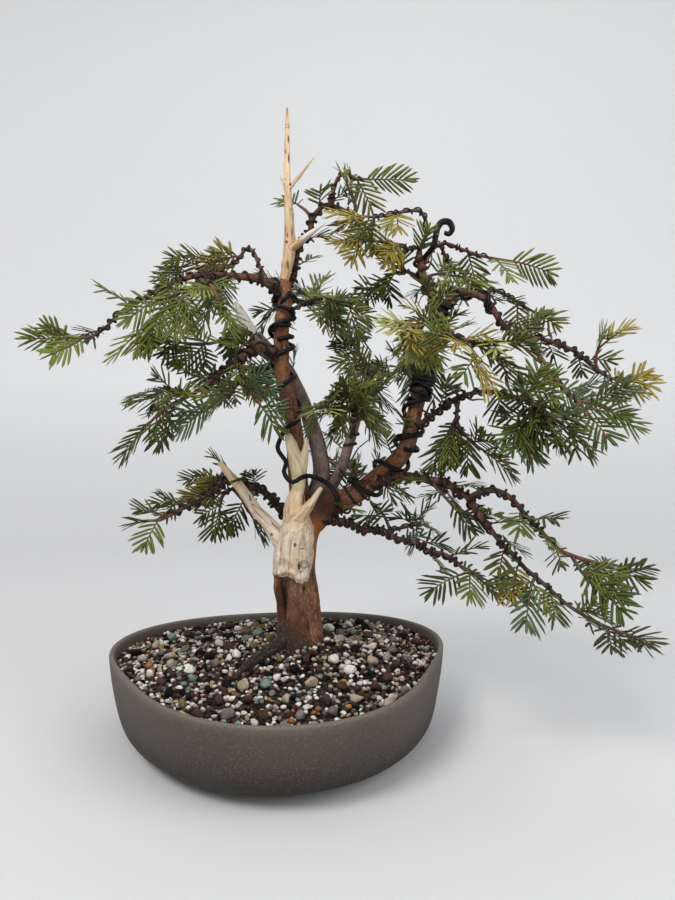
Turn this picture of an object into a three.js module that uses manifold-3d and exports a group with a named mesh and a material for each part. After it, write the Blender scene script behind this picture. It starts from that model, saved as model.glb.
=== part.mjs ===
// A wired bonsai yew with stripped deadwood, in a low rounded bowl filled with grit.
// Millimetres, +Z up. The origin is under the middle of the bowl and +Y points away from the front.
import * as THREE from "three";
import Module from "manifold-3d";

const wasm = await Module();
wasm.setup();

// Driving dimensions of the bowl and its grit
const BOWL_RADIUS = 159;
const BOWL_HEIGHT = 70;
const BOWL_WALL = 5;
const BOWL_FLOOR = 8;
const BOWL_STEPS = 36;
const LIP_ROUND = 1.2;
const INNER_HEIGHTS = [58, 40, 24, 14];
const GRIT_EDGE_HEIGHT = 61;
const GRIT_CROWN_HEIGHT = 76;
const GRIT_CROWN = [17, -4];
const GRIT_SPREAD = 130;
const GROUND_CUT = 71;
const FOOT_ROUND = 3;
const OUTER_HEIGHTS = [7, 14, 24, 40];

// The larger stones that stand out of the grit, in staggered rows and each a little off its place
const STONE_SPACING = 26;
const STONE_ROW_SPACING = 22;
const STONE_SHIFT = 9;
const STONE_RADII = [4.6, 7];
const STONE_HEIGHTS = [3.4, 5.2];
const STONE_SIDES = 4;
const STONE_SHOULDER = 0.7;
const STONE_CLEARANCE = 2;
const STONE_SEED = 77;

// Gap between solids that touch in the real plant, and how far a limb's bark can swell past its radius
const GAP = 0.3;
const BARK_SWELL = 1.08;

// Driving dimensions of the foliage
const NEEDLE_LENGTH = 24;
const NEEDLE_PITCH = 10.5;
const NEEDLE_ANGLE = 56;
const NEEDLE_ANGLE_CHANGE = 18;
const NEEDLE_SHORTEST = 0.72;
const NEEDLE_SAG = 0.06;
const NEEDLE_RADIUS = 0.6;
const NEEDLE_CLEARANCE = 1.3;
const TIP_NEEDLE_LENGTH = 13;
const SPRAY_SPACING = 28;
const SPRAY_LENGTH = 42;
const SPRAY_ANGLE = 52;
const SPRAY_ANGLE_JITTER = 16;
const SPRAY_ROLL = [25, 62];
const SPRAY_DROOP = [0, 0.2];
const SPRAY_SIZES = [0.85, 1.12];
const OUTER_SPRAY_SIZE = 0.75;
const RIB_WIDTH = 2;
const RIB_TAPER = 0.4;
const RIB_CLEARANCE = 2;
const STEM_RADIUS = [2.1, 1.5];
const SIDE_STEM_SIZE = 0.85;
const STEM_STEP = 16;

const MATERIALS = {
  bowl: { color: 0x77726b, roughness: 0.85, metalness: 0 },
  grit: { color: 0x9a9086, roughness: 0.95, metalness: 0 },
  bark: { color: 0x6e4634, roughness: 0.9, metalness: 0 },
  grey_bark: { color: 0x6b5e5b, roughness: 0.9, metalness: 0 },
  deadwood: { color: 0xd8c49c, roughness: 0.8, metalness: 0 },
  wire: { color: 0x1c1b1d, roughness: 0.45, metalness: 0.6 },
  foliage: { color: 0x3f5a2a, roughness: 0.6, metalness: 0 },
};

const UP = new THREE.Vector3(0, 0, 1);
const model = new THREE.Group();
const woods = {};
const occupied = [];

// Numbers that look random and come out the same each time
function seeded(seed) {
  const range = 2147483647;
  let state = (seed * 7919 + 17) % range;
  return () => {
    state = (state * 16807) % range;
    return state / range;
  };
}

function vector([x, y, z]) {
  return new THREE.Vector3(x, y, z);
}

function mix(from, to, share) {
  return from + (to - from) * share;
}

// A value read from a short list spread evenly along a limb
function along(list, share) {
  const place = share * (list.length - 1);
  const first = Math.min(Math.floor(place), list.length - 2);
  return mix(list[first], list[first + 1], place - first);
}

function curveThrough(points) {
  return new THREE.CatmullRomCurve3(points, false, "catmullrom", 0.5);
}

// Evenly spaced places on a curve, each with two directions across it that don't twist
function stations(curve, count) {
  const list = [];
  let side = null;
  for (let i = 0; i <= count; i += 1) {
    const share = i / count;
    const center = curve.getPointAt(share);
    const heading = curve.getTangentAt(share);
    if (side === null) {
      const helper = Math.abs(heading.z) > 0.9 ? new THREE.Vector3(0, -1, 0) : UP;
      side = helper.clone().cross(heading);
    }
    side = side.clone().addScaledVector(heading, -side.dot(heading)).normalize();
    list.push({ share, center, heading, side, over: heading.clone().cross(side) });
  }
  return list;
}

// A ring of points round a station
function ringAround(at, sides, radiusAt) {
  const ring = [];
  for (let i = 0; i < sides; i += 1) {
    const angle = (i / sides) * 2 * Math.PI;
    const radius = radiusAt(angle);
    ring.push(at.center.clone()
      .addScaledVector(at.side, radius * Math.cos(angle))
      .addScaledVector(at.over, radius * Math.sin(angle)));
  }
  return ring;
}

// A closed skin over rings of points; a ring of one point is a tip
function loft(rings) {
  const vertices = [];
  const triangles = [];
  const firsts = [];
  for (const ring of rings) {
    firsts.push(vertices.length / 3);
    ring.forEach((p) => vertices.push(p.x, p.y, p.z));
  }
  for (let r = 0; r + 1 < rings.length; r += 1) {
    const [low, high] = [rings[r].length, rings[r + 1].length];
    const steps = Math.max(low, high);
    for (let i = 0; i < steps; i += 1) {
      const next = (i + 1) % steps;
      const a = firsts[r] + (i % low);
      const b = firsts[r] + (next % low);
      const c = firsts[r + 1] + (next % high);
      const d = firsts[r + 1] + (i % high);
      if (a !== b) triangles.push([a, b, c]);
      if (c !== d) triangles.push([a, c, d]);
    }
  }
  closeEnd(rings[0], firsts[0], true, vertices, triangles);
  closeEnd(rings.at(-1), firsts.at(-1), false, vertices, triangles);
  return solid(vertices, triangles);
}

function closeEnd(ring, first, isStart, vertices, triangles) {
  if (ring.length === 1) return;
  const center = vertices.length / 3;
  const middle = new THREE.Vector3();
  ring.forEach((p) => middle.addScaledVector(p, 1 / ring.length));
  vertices.push(middle.x, middle.y, middle.z);
  for (let i = 0; i < ring.length; i += 1) {
    const a = first + i;
    const b = first + ((i + 1) % ring.length);
    triangles.push(isStart ? [b, a, center] : [a, b, center]);
  }
}

function solid(vertices, triangles) {
  const corner = (i) => new THREE.Vector3().fromArray(vertices, i * 3);
  let volume = 0;
  for (const [a, b, c] of triangles) volume += corner(a).dot(corner(b).cross(corner(c)));
  const outward = volume > 0 ? triangles : triangles.map(([a, b, c]) => [a, c, b]);
  return new wasm.Manifold(new wasm.Mesh({
    numProp: 3,
    vertProperties: new Float32Array(vertices),
    triVerts: new Uint32Array(outward.flat()),
  }));
}

// Cutting can leave loose scraps, so only the largest piece is kept
function largest(shape) {
  return shape.decompose().sort((a, b) => b.volume() - a.volume())[0];
}

function addNode(name, material, shape) {
  const { vertProperties, triVerts } = shape.getMesh();
  const geometry = new THREE.BufferGeometry();
  geometry.setAttribute("position", new THREE.BufferAttribute(new Float32Array(vertProperties), 3));
  geometry.setIndex(new THREE.BufferAttribute(new Uint32Array(triVerts), 1));
  geometry.computeVertexNormals();
  const mesh = new THREE.Mesh(geometry, new THREE.MeshStandardMaterial(MATERIALS[material]));
  mesh.name = name;
  model.add(mesh);
}

// How far the bowl's outside reaches at a height: near round at its foot and three-cornered at its rim
function bowlRadius(angle, height) {
  const share = height / BOWL_HEIGHT;
  const flare = along([0.74, 0.84, 0.9, 0.93, 0.95, 0.963, 0.973, 0.982, 0.989, 0.995, 1], share);
  const shaped = along([0.2, 0.35, 0.5, 0.63, 0.75, 0.82, 0.86, 0.9, 0.94, 0.97, 1], share);
  const oval = -7 * Math.cos(2 * angle);
  const corners = 12 * Math.sin(3 * angle) - 5 * Math.cos(3 * angle);
  return BOWL_RADIUS * flare + (oval + corners) * shaped;
}

// A ring that follows the bowl's outline at some height, moved in from it, and level unless told otherwise
function bowlRing(level, inset, rise = () => level) {
  const ring = [];
  for (let i = 0; i < BOWL_STEPS; i += 1) {
    const angle = (i / BOWL_STEPS) * 2 * Math.PI;
    const radius = bowlRadius(angle, level) - inset;
    const [x, y] = [radius * Math.cos(angle), radius * Math.sin(angle)];
    ring.push(new THREE.Vector3(x, y, rise(x, y)));
  }
  return ring;
}

function groundHeight(x, y) {
  const far = Math.min(1, Math.hypot(x - GRIT_CROWN[0], y - GRIT_CROWN[1]) / GRIT_SPREAD);
  return mix(GRIT_CROWN_HEIGHT, GRIT_EDGE_HEIGHT, far * far);
}

function makeBowl() {
  const rings = [bowlRing(0, FOOT_ROUND), bowlRing(FOOT_ROUND / 2, 0)];
  for (const height of [...OUTER_HEIGHTS, BOWL_HEIGHT - 2]) rings.push(bowlRing(height, 0));
  rings.push(bowlRing(BOWL_HEIGHT, LIP_ROUND));
  rings.push(bowlRing(BOWL_HEIGHT, BOWL_WALL - LIP_ROUND));
  rings.push(bowlRing(BOWL_HEIGHT - 2, BOWL_WALL));
  for (const height of INNER_HEIGHTS) rings.push(bowlRing(height, BOWL_WALL));
  rings.push(bowlRing(BOWL_FLOOR, BOWL_WALL + 6));
  return loft(rings);
}

function makeGrit() {
  const inset = BOWL_WALL + 4 * GAP;
  const rings = [bowlRing(BOWL_FLOOR, BOWL_WALL + 7, () => BOWL_FLOOR + GAP)];
  for (const height of INNER_HEIGHTS.toReversed()) rings.push(bowlRing(height, inset));
  for (const inward of [2, 56]) rings.push(bowlRing(GRIT_EDGE_HEIGHT, inset + inward, groundHeight));
  rings.push([new THREE.Vector3(0, 0, groundHeight(0, 0))]);
  return stonePlaces().map(stoneSolid).reduce((all, one) => all.add(one), loft(rings));
}

// Places, sizes and turns of the larger stones, clear of the rim and of the tree
function stonePlaces() {
  const random = seeded(STONE_SEED);
  const places = [];
  const reach = Math.ceil(BOWL_RADIUS / STONE_ROW_SPACING);
  for (let row = -reach; row <= reach; row += 1) {
    for (let column = -reach; column <= reach; column += 1) {
      const stagger = row % 2 === 0 ? 0 : STONE_SPACING / 2;
      const x = column * STONE_SPACING + stagger + STONE_SHIFT * (random() - 0.5);
      const y = row * STONE_ROW_SPACING + STONE_SHIFT * (random() - 0.5);
      const radius = mix(...STONE_RADII, random());
      const height = mix(...STONE_HEIGHTS, random());
      const turn = random() * 2 * Math.PI;
      const foot = new THREE.Vector3(x, y, groundHeight(x, y));
      const top = foot.clone().addScaledVector(UP, height);
      const rim = bowlRadius(Math.atan2(y, x), GRIT_EDGE_HEIGHT) - BOWL_WALL;
      const fits = Math.hypot(x, y) + radius + STONE_CLEARANCE < rim
        && isFree(foot, top, radius + STONE_CLEARANCE, () => false);
      if (fits) places.push({ foot, radius, height, turn });
    }
  }
  return places;
}

function stoneSolid({ foot, radius, height, turn }) {
  const ring = (size, rise) => Array.from({ length: STONE_SIDES }, (_, i) => {
    const angle = turn + (i / STONE_SIDES) * 2 * Math.PI;
    return foot.clone().add(new THREE.Vector3(size * Math.cos(angle), size * Math.sin(angle), rise));
  });
  return loft([ring(radius, -height / 2), ring(STONE_SHOULDER * radius, STONE_SHOULDER * height),
    [foot.clone().addScaledVector(UP, height)]]);
}

// Each limb starts on the middle line of the one that bears it and follows the bends it was wired to.
// Radii are spread evenly from foot to tip. A limb is cut back from every limb that it starts among.
const LIMBS = [
  { name: "trunk", sides: 12, step: 12, gnarl: 0.07, material: "bark",
    path: [[17, -3, GROUND_CUT], [16, -3, 92], [15, -3, 116], [12, -3, 139], [14, -2, 163], [20, -2, 187],
      [25, -1, 206]],
    radii: [23, 19.5, 18.5, 18.5, 18.5, 17.5, 15] },
  { name: "leader_front", from: ["trunk", 0.84], sides: 8, step: 17, material: "bark",
    path: [[16, -3, 216], [14, -6, 240], [12, -9, 270], [7, -11, 297], [2, -12, 318], [1, -12, 360],
      [4, -12, 386], [2, -12, 402]],
    radii: [11, 9, 8.2, 7.6, 7, 7, 6.8, 6.6] },
  { name: "leader_back", from: ["trunk", 0.86], sides: 8, step: 17, material: "grey_bark",
    path: [[35, 6, 225], [34, 11, 250], [28, 14, 271], [22, 14, 290], [10, 10, 317], [-1, 6, 332],
      [-16, 0, 345], [-25, -4, 354]],
    radii: [11, 9, 8.2, 7.8, 6.6, 6, 7, 7.6] },
  { name: "bough_right_low", from: ["trunk", 0.8], sides: 8, step: 16, material: "bark",
    path: [[42, -9, 201], [58, -13, 208], [75, -16, 218], [90, -18, 231], [104, -20, 243], [112, -22, 256],
      [116, -22, 272]],
    radii: [13, 12.4, 9.4, 8.2, 7.6, 7] },
  { name: "bough_right_high", from: ["bough_right_low", 1], sides: 7, step: 18, material: "bark",
    path: [[122, -20, 296], [128, -19, 318], [136, -18, 341], [141, -17, 363], [140, -16, 378],
      [134, -14, 393], [127, -12, 409], [124, -10, 430]],
    radii: [6.8, 6.4, 5.6, 5, 4.6, 3.8, 3] },
  { name: "bough_centre", from: ["leader_back", 0.1], sides: 7, step: 20, material: "grey_bark",
    path: [[50, 9, 226], [63, 12, 262], [70, 14, 285], [80, 16, 313], [80, 16, 329]],
    radii: [5.8, 5.2, 4.6, 3.8, 3] },
  { name: "bough_low_right", from: ["bough_right_low", 0.52], sides: 6, step: 16, material: "bark",
    path: [[96, -28, 227], [112, -32, 229], [131, -36, 226], [142, -41, 225], [152, -46, 217],
      [162, -52, 212]],
    radii: [4.8, 4.2, 3.8, 3.4] },
  { name: "bough_low_right_upper", from: ["bough_low_right", 1], sides: 6, step: 16, material: "bark",
    path: [[175, -54, 218], [185, -59, 217], [194, -64, 211], [204, -70, 198], [217, -76, 183],
      [228, -80, 171]],
    radii: [3.1, 2.7, 2.3] },
  { name: "bough_low_right_lower", from: ["bough_low_right", 0.97], sides: 6, step: 16, material: "bark",
    path: [[165, -60, 202], [173, -65, 191], [182, -70, 178], [190, -76, 169], [199, -82, 158]],
    radii: [3.1, 2.7, 2.3] },
  { name: "bough_under_right", from: ["trunk", 0.9], sides: 6, step: 16, material: "bark",
    path: [[48, -18, 190], [62, -24, 188], [74, -27, 182], [88, -31, 183], [102, -38, 176], [116, -44, 174],
      [128, -49, 167], [142, -57, 164], [157, -64, 152]],
    radii: [3.8, 3.2, 2.6, 2.1] },
  { name: "bough_low_left", from: ["trunk", 0.82], sides: 6, step: 16, material: "bark",
    path: [[0, 6, 196], [-9, 6, 207], [-17, 3, 214], [-28, -2, 219], [-44, -10, 226], [-54, -16, 220],
      [-70, -22, 208], [-86, -28, 200], [-101, -34, 192]],
    radii: [4.6, 3.8, 3.2, 2.6, 2.1] },
  { name: "bough_high_left", from: ["leader_front", 0.93], sides: 6, step: 18, material: "bark",
    path: [[-14, -18, 402], [-39, -26, 404], [-64, -32, 403], [-76, -34, 401], [-90, -40, 394],
      [-104, -44, 386], [-117, -47, 377], [-131, -50, 367], [-143, -54, 353], [-154, -56, 345]],
    radii: [4.8, 4, 3.2, 2.5, 2.1] },
  { name: "bough_mid_left", from: ["leader_front", 0.66], sides: 6, step: 16, material: "bark",
    path: [[-11, -22, 341], [-25, -32, 337], [-36, -42, 327], [-48, -50, 315], [-62, -56, 302]],
    radii: [4.4, 3.8, 3, 2.6] },
  { name: "bough_top", from: ["leader_front", 0.97], sides: 6, step: 16, material: "bark",
    path: [[11, -4, 408], [13, -4, 421], [16, -6, 436], [26, -12, 447], [29, -14, 459], [39, -17, 469],
      [49, -20, 467], [64, -24, 459]],
    radii: [3.2, 3.2, 3, 2.3] },
  { name: "bough_right_outer", from: ["bough_right_high", 0.62], sides: 6, step: 18, material: "bark",
    path: [[154, -22, 389], [171, -26, 388], [183, -30, 379], [192, -34, 362], [205, -36, 351],
      [228, -40, 346], [251, -44, 336], [266, -48, 322]],
    radii: [4.2, 3.6, 2.9, 2.4, 2.1] },
  { name: "bough_right_mid", from: ["bough_right_low", 0.96], sides: 6, step: 16, material: "bark",
    path: [[129, -30, 279], [142, -40, 289], [155, -50, 297], [172, -62, 300]],
    radii: [3.2, 2.7, 2.2] },
  { name: "bough_back_right", from: ["bough_right_high", 0.3], sides: 6, step: 18, material: "bark",
    path: [[128, 4, 322], [122, 34, 334], [112, 62, 336]],
    radii: [4, 3.4, 2.6] },
  { name: "bough_back_left", from: ["leader_back", 0.66], sides: 6, step: 18, material: "bark",
    path: [[2, 30, 326], [-16, 54, 334], [-38, 74, 330]],
    radii: [4, 3.4, 2.6] },
];

const TIP_REACH = 0.4;

function radiusAround(limb, share, angle) {
  const gnarl = limb.gnarl ?? 0.05;
  const wave = 0.6 * Math.sin(2 * angle + 5 * share + limb.turn) + 0.4 * Math.sin(3 * angle - 7 * share);
  return along(limb.radii, share) * (1 + gnarl * wave);
}

// A limb's solid, or the same limb grown by some millimetres all round to cut others back from it
function limbSolid(limb, grow) {
  const count = Math.max(3, Math.round(limb.curve.getLength() / limb.step));
  const rings = stations(limb.curve, count)
    .map((at) => ringAround(at, limb.sides, (angle) => radiusAround(limb, at.share, angle) + grow));
  const tip = limb.curve.getTangentAt(1);
  const end = limb.curve.getPointAt(1);
  const reach = TIP_REACH * limb.radii.at(-1) + grow;
  const shoulder = rings.at(-1).map((p) => p.clone().lerp(end, 0.45).addScaledVector(tip, reach * 0.8));
  rings.push(shoulder);
  rings.push([end.clone().addScaledVector(tip, reach)]);
  return loft(rings);
}

// The room that a straight stretch of wood or needle takes up
function room(a, b, radius, owner, kind) {
  return { a, b, radius, owner, kind };
}

// Notes the room that a limb takes, so that no foliage grows through it
function occupy(curve, count, radiusAt, owner, kind) {
  for (let i = 0; i < count; i += 1) {
    const [low, high] = [i / count, (i + 1) / count];
    const radius = Math.max(radiusAt(low), radiusAt(high));
    occupied.push(room(curve.getPointAt(low), curve.getPointAt(high), radius, owner, kind));
  }
}

function layOut(limb, index) {
  limb.turn = index * 1.7;
  const start = limb.from ? [woods[limb.from[0]].curve.getPointAt(limb.from[1])] : [];
  limb.curve = curveThrough([...start, ...limb.path.map(vector)]);
  const count = Math.ceil(limb.curve.getLength() / 9);
  occupy(limb.curve, count, (share) => along(limb.radii, share) * BARK_SWELL, limb.name, "limb");
  woods[limb.name] = limb;
}

// The root that runs forward over the grit from the foot of the trunk
const ROOT_PATH = [[16, -2, 84], [4, -14, 80], [-7, -34, 77], [-20, -56, 74], [-30, -76, 71],
  [-36, -92, 68]];
const ROOT_RADII = [11, 10, 8.5, 7, 6, 4];
// The flange of bark that stands out at the left of the trunk's foot
const FLANGE_PATH = [[10, -7, GROUND_CUT], [5, -9, 92], [3, -10, 112], [0, -11, 132], [4, -8, 150]];
const FLANGE_RADII = [9, 7, 6.5, 6.5, 4];

// Stripped wood on the front of the trunk, which runs up into dry points, and one short and one long snag
const SHARI = { sides: 9, step: 11, gnarl: 0.1,
  path: [[12, -13, 137], [12, -15, 150], [12, -15, 166], [15, -16, 184], [14, -17, 204], [17, -17, 227],
    [12, -17, 250], [4, -17, 274]],
  radii: [14, 17.4, 16.6, 12.2, 6.8, 7.6, 6, 1.8] };
const SHARI_PRONG = { path: [[16, -16, 222], [21, -16, 243], [24, -15, 262]], radii: [6, 4.6, 2] };
const SHARI_SNAG = { sides: 6, path: [[17, -24, 192], [26, -30, 203], [34, -33, 215], [37, -34, 219]],
  radii: [6, 4.6, 3, 2] };
const LEFT_SNAG = { sides: 8, step: 12, gnarl: 0.08,
  path: [[4, -14, 166], [-9, -15, 185], [-22, -17, 200], [-37, -19, 221], [-53, -21, 241]],
  radii: [10, 8.2, 7, 5.4, 2.6] };
// The long dry tip of the front leader, with its stubs
const SPIRE = { sides: 6, step: 16, gnarl: 0.1,
  path: [[3, -12, 404], [7, -12, 422], [8, -12, 440], [7, -12, 476], [6, -12, 507], [6, -12, 556]],
  radii: [4.2, 5.2, 4.4, 3.3, 2.8, 2.4, 1.3] };
const SPIRE_STUBS = [
  { path: [[6, -12, 486], [1, -13, 494], [-2, -14, 500]], radii: [2.2, 1.5, 1] },
  { path: [[6, -12, 484], [19, -14, 499], [30, -17, 512]], radii: [2.4, 1.7, 1] },
  { path: [[6, -14, 430], [16, -22, 439], [26, -29, 445], [38, -36, 450]], radii: [4, 3.2, 2.6, 1.4] },
];
// The dry end of the back leader
const BACK_SNAG = { sides: 7, step: 10,
  path: [[-28, -6, 357], [-32, -9, 366], [-36, -13, 376], [-40, -16, 384]], radii: [6.2, 4.6, 3, 1.2] };

function plainLimb(limb) {
  const whole = { sides: 6, step: 12, turn: 0.6, ...limb };
  whole.curve = curveThrough(whole.path.map(vector));
  return whole;
}

// A union of limbs, grown or not
function joined(limbs, grow) {
  return limbs.map((limb) => limbSolid(limb, grow)).reduce((all, one) => all.add(one));
}

// Training wire coiled round one limb, or round two that carry each other on, between two shares of their
// length. A wire's lead is the stretch that runs free over the wood before its first turn.
const WIRES = [
  { name: "wire_leader", round: ["leader_front"], from: 0.5, to: 0.95, turns: 3.6, radius: 2.3, turn: 3.9,
    lead: [[48, -24, 193], [50, -24, 211], [43, -22, 222], [28, -20, 229], [20, -27, 228], [13, -29, 224],
      [8, -27, 226], [4, -24, 233], [6, -22, 241], [2, -22, 247], [-2, -20, 254], [2, -18, 264],
      [6, -20, 271], [16, -20, 279]] },
  { name: "wire_right", round: ["bough_right_low", "bough_right_high"], from: 0.2, to: 0.72, turns: 5.2,
    radius: 2.3, turn: 1.6, lead: [] },
];
const WIRE_SIDES = 4;
const WIRE_STEPS_PER_TURN = 7;
const WIRE_CLEARANCE = 0.9;
const WOUND_STEP = 8;

// The middle line and radii of the limbs that a wire is wound round
function woundLine(names) {
  const points = [];
  const radii = [];
  for (const limb of names.map((name) => woods[name])) {
    const count = Math.round(limb.curve.getLength() / WOUND_STEP);
    for (let i = points.length === 0 ? 0 : 1; i <= count; i += 1) {
      points.push(limb.curve.getPointAt(i / count));
      radii.push(along(limb.radii, i / count));
    }
  }
  return { curve: curveThrough(points), radii };
}

function makeWire(wire) {
  const wound = woundLine(wire.round);
  const count = Math.round(wire.turns * WIRE_STEPS_PER_TURN);
  const whole = Math.round(count / (wire.to - wire.from));
  const first = Math.round(wire.from * whole);
  const centers = stations(wound.curve, whole).slice(first, first + count + 1).map((at, i) => {
    const angle = wire.turn + (i / WIRE_STEPS_PER_TURN) * 2 * Math.PI;
    const out = along(wound.radii, at.share) * BARK_SWELL + wire.radius + WIRE_CLEARANCE;
    return at.center
      .addScaledVector(at.side, out * Math.cos(angle))
      .addScaledVector(at.over, out * Math.sin(angle));
  });
  const free = wire.lead.map((place) => broughtForward(vector(place), wire.radius + WIRE_CLEARANCE));
  const curve = curveThrough([...free, ...centers]);
  const steps = count + free.length;
  occupy(curve, steps, () => wire.radius, wire.name, "limb");
  return loft(stations(curve, steps).map((at) => ringAround(at, WIRE_SIDES, () => wire.radius)));
}

// Moves a place towards the front until it lies clear on top of the wood
function broughtForward(place, radius) {
  const above = place.clone().addScaledVector(UP, 1);
  while (!isFree(place, above, radius, () => false)) {
    place.y -= 0.5;
    above.y -= 0.5;
  }
  return place;
}

function segmentDistance(a, b, c, d) {
  const [u, v, w] = [b.clone().sub(a), d.clone().sub(c), a.clone().sub(c)];
  const [uu, uv, vv, uw, vw] = [u.dot(u), u.dot(v), v.dot(v), u.dot(w), v.dot(w)];
  const flat = uu * vv - uv * uv;
  let s = flat > 1e-9 ? THREE.MathUtils.clamp((uv * vw - vv * uw) / flat, 0, 1) : 0;
  const t = THREE.MathUtils.clamp((uv * s + vw) / vv, 0, 1);
  s = THREE.MathUtils.clamp((uv * t - uw) / uu, 0, 1);
  return w.addScaledVector(u, s).addScaledVector(v, -t).length();
}

// Whether a stretch keeps clear of everything noted so far; pieces this far off can't reach it
const OUT_OF_REACH = 80;

function isFree(a, b, radius, ignores) {
  return occupied.every((other) => ignores(other)
    || other.a.distanceTo(a) > OUT_OF_REACH
    || segmentDistance(a, b, other.a, other.b) > radius + other.radius);
}

// Places along a spray's rib, which droops a little more towards its tip
function ribPlaces(root, heading, face, length, droop) {
  const count = Math.max(2, Math.round(length / NEEDLE_PITCH));
  const places = [];
  for (let i = 0; i <= count; i += 1) {
    const share = i / count;
    const center = root.clone().addScaledVector(heading, length * share)
      .addScaledVector(UP, -droop * length * share * share);
    const forward = heading.clone().addScaledVector(UP, -2 * droop * share).normalize();
    const side = face.clone().cross(forward).normalize();
    places.push({ share, center, forward, side, over: forward.clone().cross(side) });
  }
  return places;
}

// A flat spray of needles as one closed skin: a thin three-cornered rib whose two upper flanks rise to the
// needles' points
function spraySolid(places, mass) {
  const vertices = [];
  const triangles = [];
  const fresh = [];
  const put = (p) => vertices.push(p.x, p.y, p.z) / 3 - 1;
  const rings = places.map((at) => {
    const half = (RIB_WIDTH / 2) * (1 - RIB_TAPER * at.share);
    return [[0, 1], [-1, -1], [1, -1]].map(([across, high]) => put(at.center.clone()
      .addScaledVector(at.side, across * half)
      .addScaledVector(at.over, high * half)));
  });
  const quad = (a, b, c, d) => triangles.push([a, b, c], [a, c, d]);
  for (let i = 0; i + 1 < places.length; i += 1) {
    const [near, far] = [rings[i], rings[i + 1]];
    quad(near[1], near[2], far[2], far[1]);
    for (const [sign, first, second] of [[-1, 0, 1], [1, 2, 0]]) {
      const corners = [near[first], near[second], far[second], far[first]];
      const point = needlePoint(places[i], places[i + 1], sign);
      const edges = [places[i].center, places[i + 1].center];
      const grows = i > 0 && edges.every((edge) => isFree(edge, point, NEEDLE_CLEARANCE,
        (other) => other.owner === mass && other.kind !== "needle"));
      if (grows) {
        const apex = put(point);
        corners.forEach((corner, k) => triangles.push([corner, corners[(k + 1) % 4], apex]));
        edges.forEach((edge) => fresh.push(room(edge, point, NEEDLE_RADIUS, mass, "needle")));
      } else {
        quad(...corners);
      }
    }
  }
  const end = places.at(-1);
  const longTip = end.center.clone().addScaledVector(end.forward, TIP_NEEDLE_LENGTH);
  const tipFree = isFree(end.center, longTip, NEEDLE_CLEARANCE, (other) => other.owner === mass);
  const tip = tipFree ? longTip : end.center.clone().addScaledVector(end.forward, RIB_WIDTH);
  fresh.push(room(end.center, tip, NEEDLE_RADIUS, mass, "needle"));
  const apex = put(tip);
  const last = rings.at(-1);
  last.forEach((corner, k) => triangles.push([corner, last[(k + 1) % 3], apex]));
  triangles.push(rings[0].toReversed());
  occupied.push(...fresh);
  for (let i = 0; i + 1 < places.length; i += 1) {
    occupied.push(room(places[i].center, places[i + 1].center, RIB_WIDTH / 2, mass, "rib"));
  }
  return solid(vertices, triangles);
}

// The point of the needle that stands on one flank between two places on a rib
function needlePoint(near, far, sign) {
  const share = (near.share + far.share) / 2;
  const reach = NEEDLE_LENGTH * mix(NEEDLE_SHORTEST, 1, Math.sin(Math.PI * share));
  const lean = THREE.MathUtils.degToRad(NEEDLE_ANGLE - NEEDLE_ANGLE_CHANGE * share);
  return near.center.clone().lerp(far.center, 0.5)
    .addScaledVector(near.side, sign * reach * Math.sin(lean))
    .addScaledVector(near.forward, reach * Math.cos(lean))
    .addScaledVector(UP, -NEEDLE_SAG * reach);
}

// Grows one spray, or nothing where its rib would soon touch a limb or another mass
function growSpray(root, heading, face, length, droop, mass) {
  const places = ribPlaces(root, heading, face, length, droop);
  const isOwn = (other) => other.owner === mass;
  let free = 1;
  while (free < places.length
    && isFree(places[free - 1].center, places[free].center, RIB_CLEARANCE, isOwn)) {
    free += 1;
  }
  return free < 3 ? null : spraySolid(places.slice(0, free), mass);
}

// Sprays stand alternately left and right along a stem and one carries it on at the tip
function leafStem(stem, mass, random) {
  const sprays = [];
  const length = stem.curve.getLength();
  const count = Math.max(1, Math.round((length * (1 - stem.bare)) / SPRAY_SPACING));
  for (let i = 0; i <= count; i += 1) {
    const isTip = i === count;
    const share = isTip ? 0.97 : mix(stem.bare, 1, (i + 0.3) / count);
    const sign = i % 2 === 0 ? 1 : -1;
    const jitter = isTip ? 0 : SPRAY_ANGLE_JITTER * (random() - 0.5);
    const spread = isTip ? 0 : sign * THREE.MathUtils.degToRad(SPRAY_ANGLE + jitter);
    const roll = (random() < 0.5 ? -1 : 1) * THREE.MathUtils.degToRad(mix(...SPRAY_ROLL, random()));
    const fullSize = isTip ? stem.tip : stem.side * mix(1, OUTER_SPRAY_SIZE, share);
    const size = fullSize * mix(...SPRAY_SIZES, random());
    const droop = mix(...SPRAY_DROOP, random()) - stem.lift;
    const forward = stem.curve.getTangentAt(share);
    const upright = UP.clone().addScaledVector(forward, -UP.dot(forward)).normalize();
    const face = upright.applyAxisAngle(forward, roll);
    const heading = forward.clone().applyAxisAngle(face, spread);
    const grown = growSpray(stem.curve.getPointAt(share), heading, face, size, droop, mass);
    if (grown) sprays.push(grown);
  }
  return sprays;
}

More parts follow.
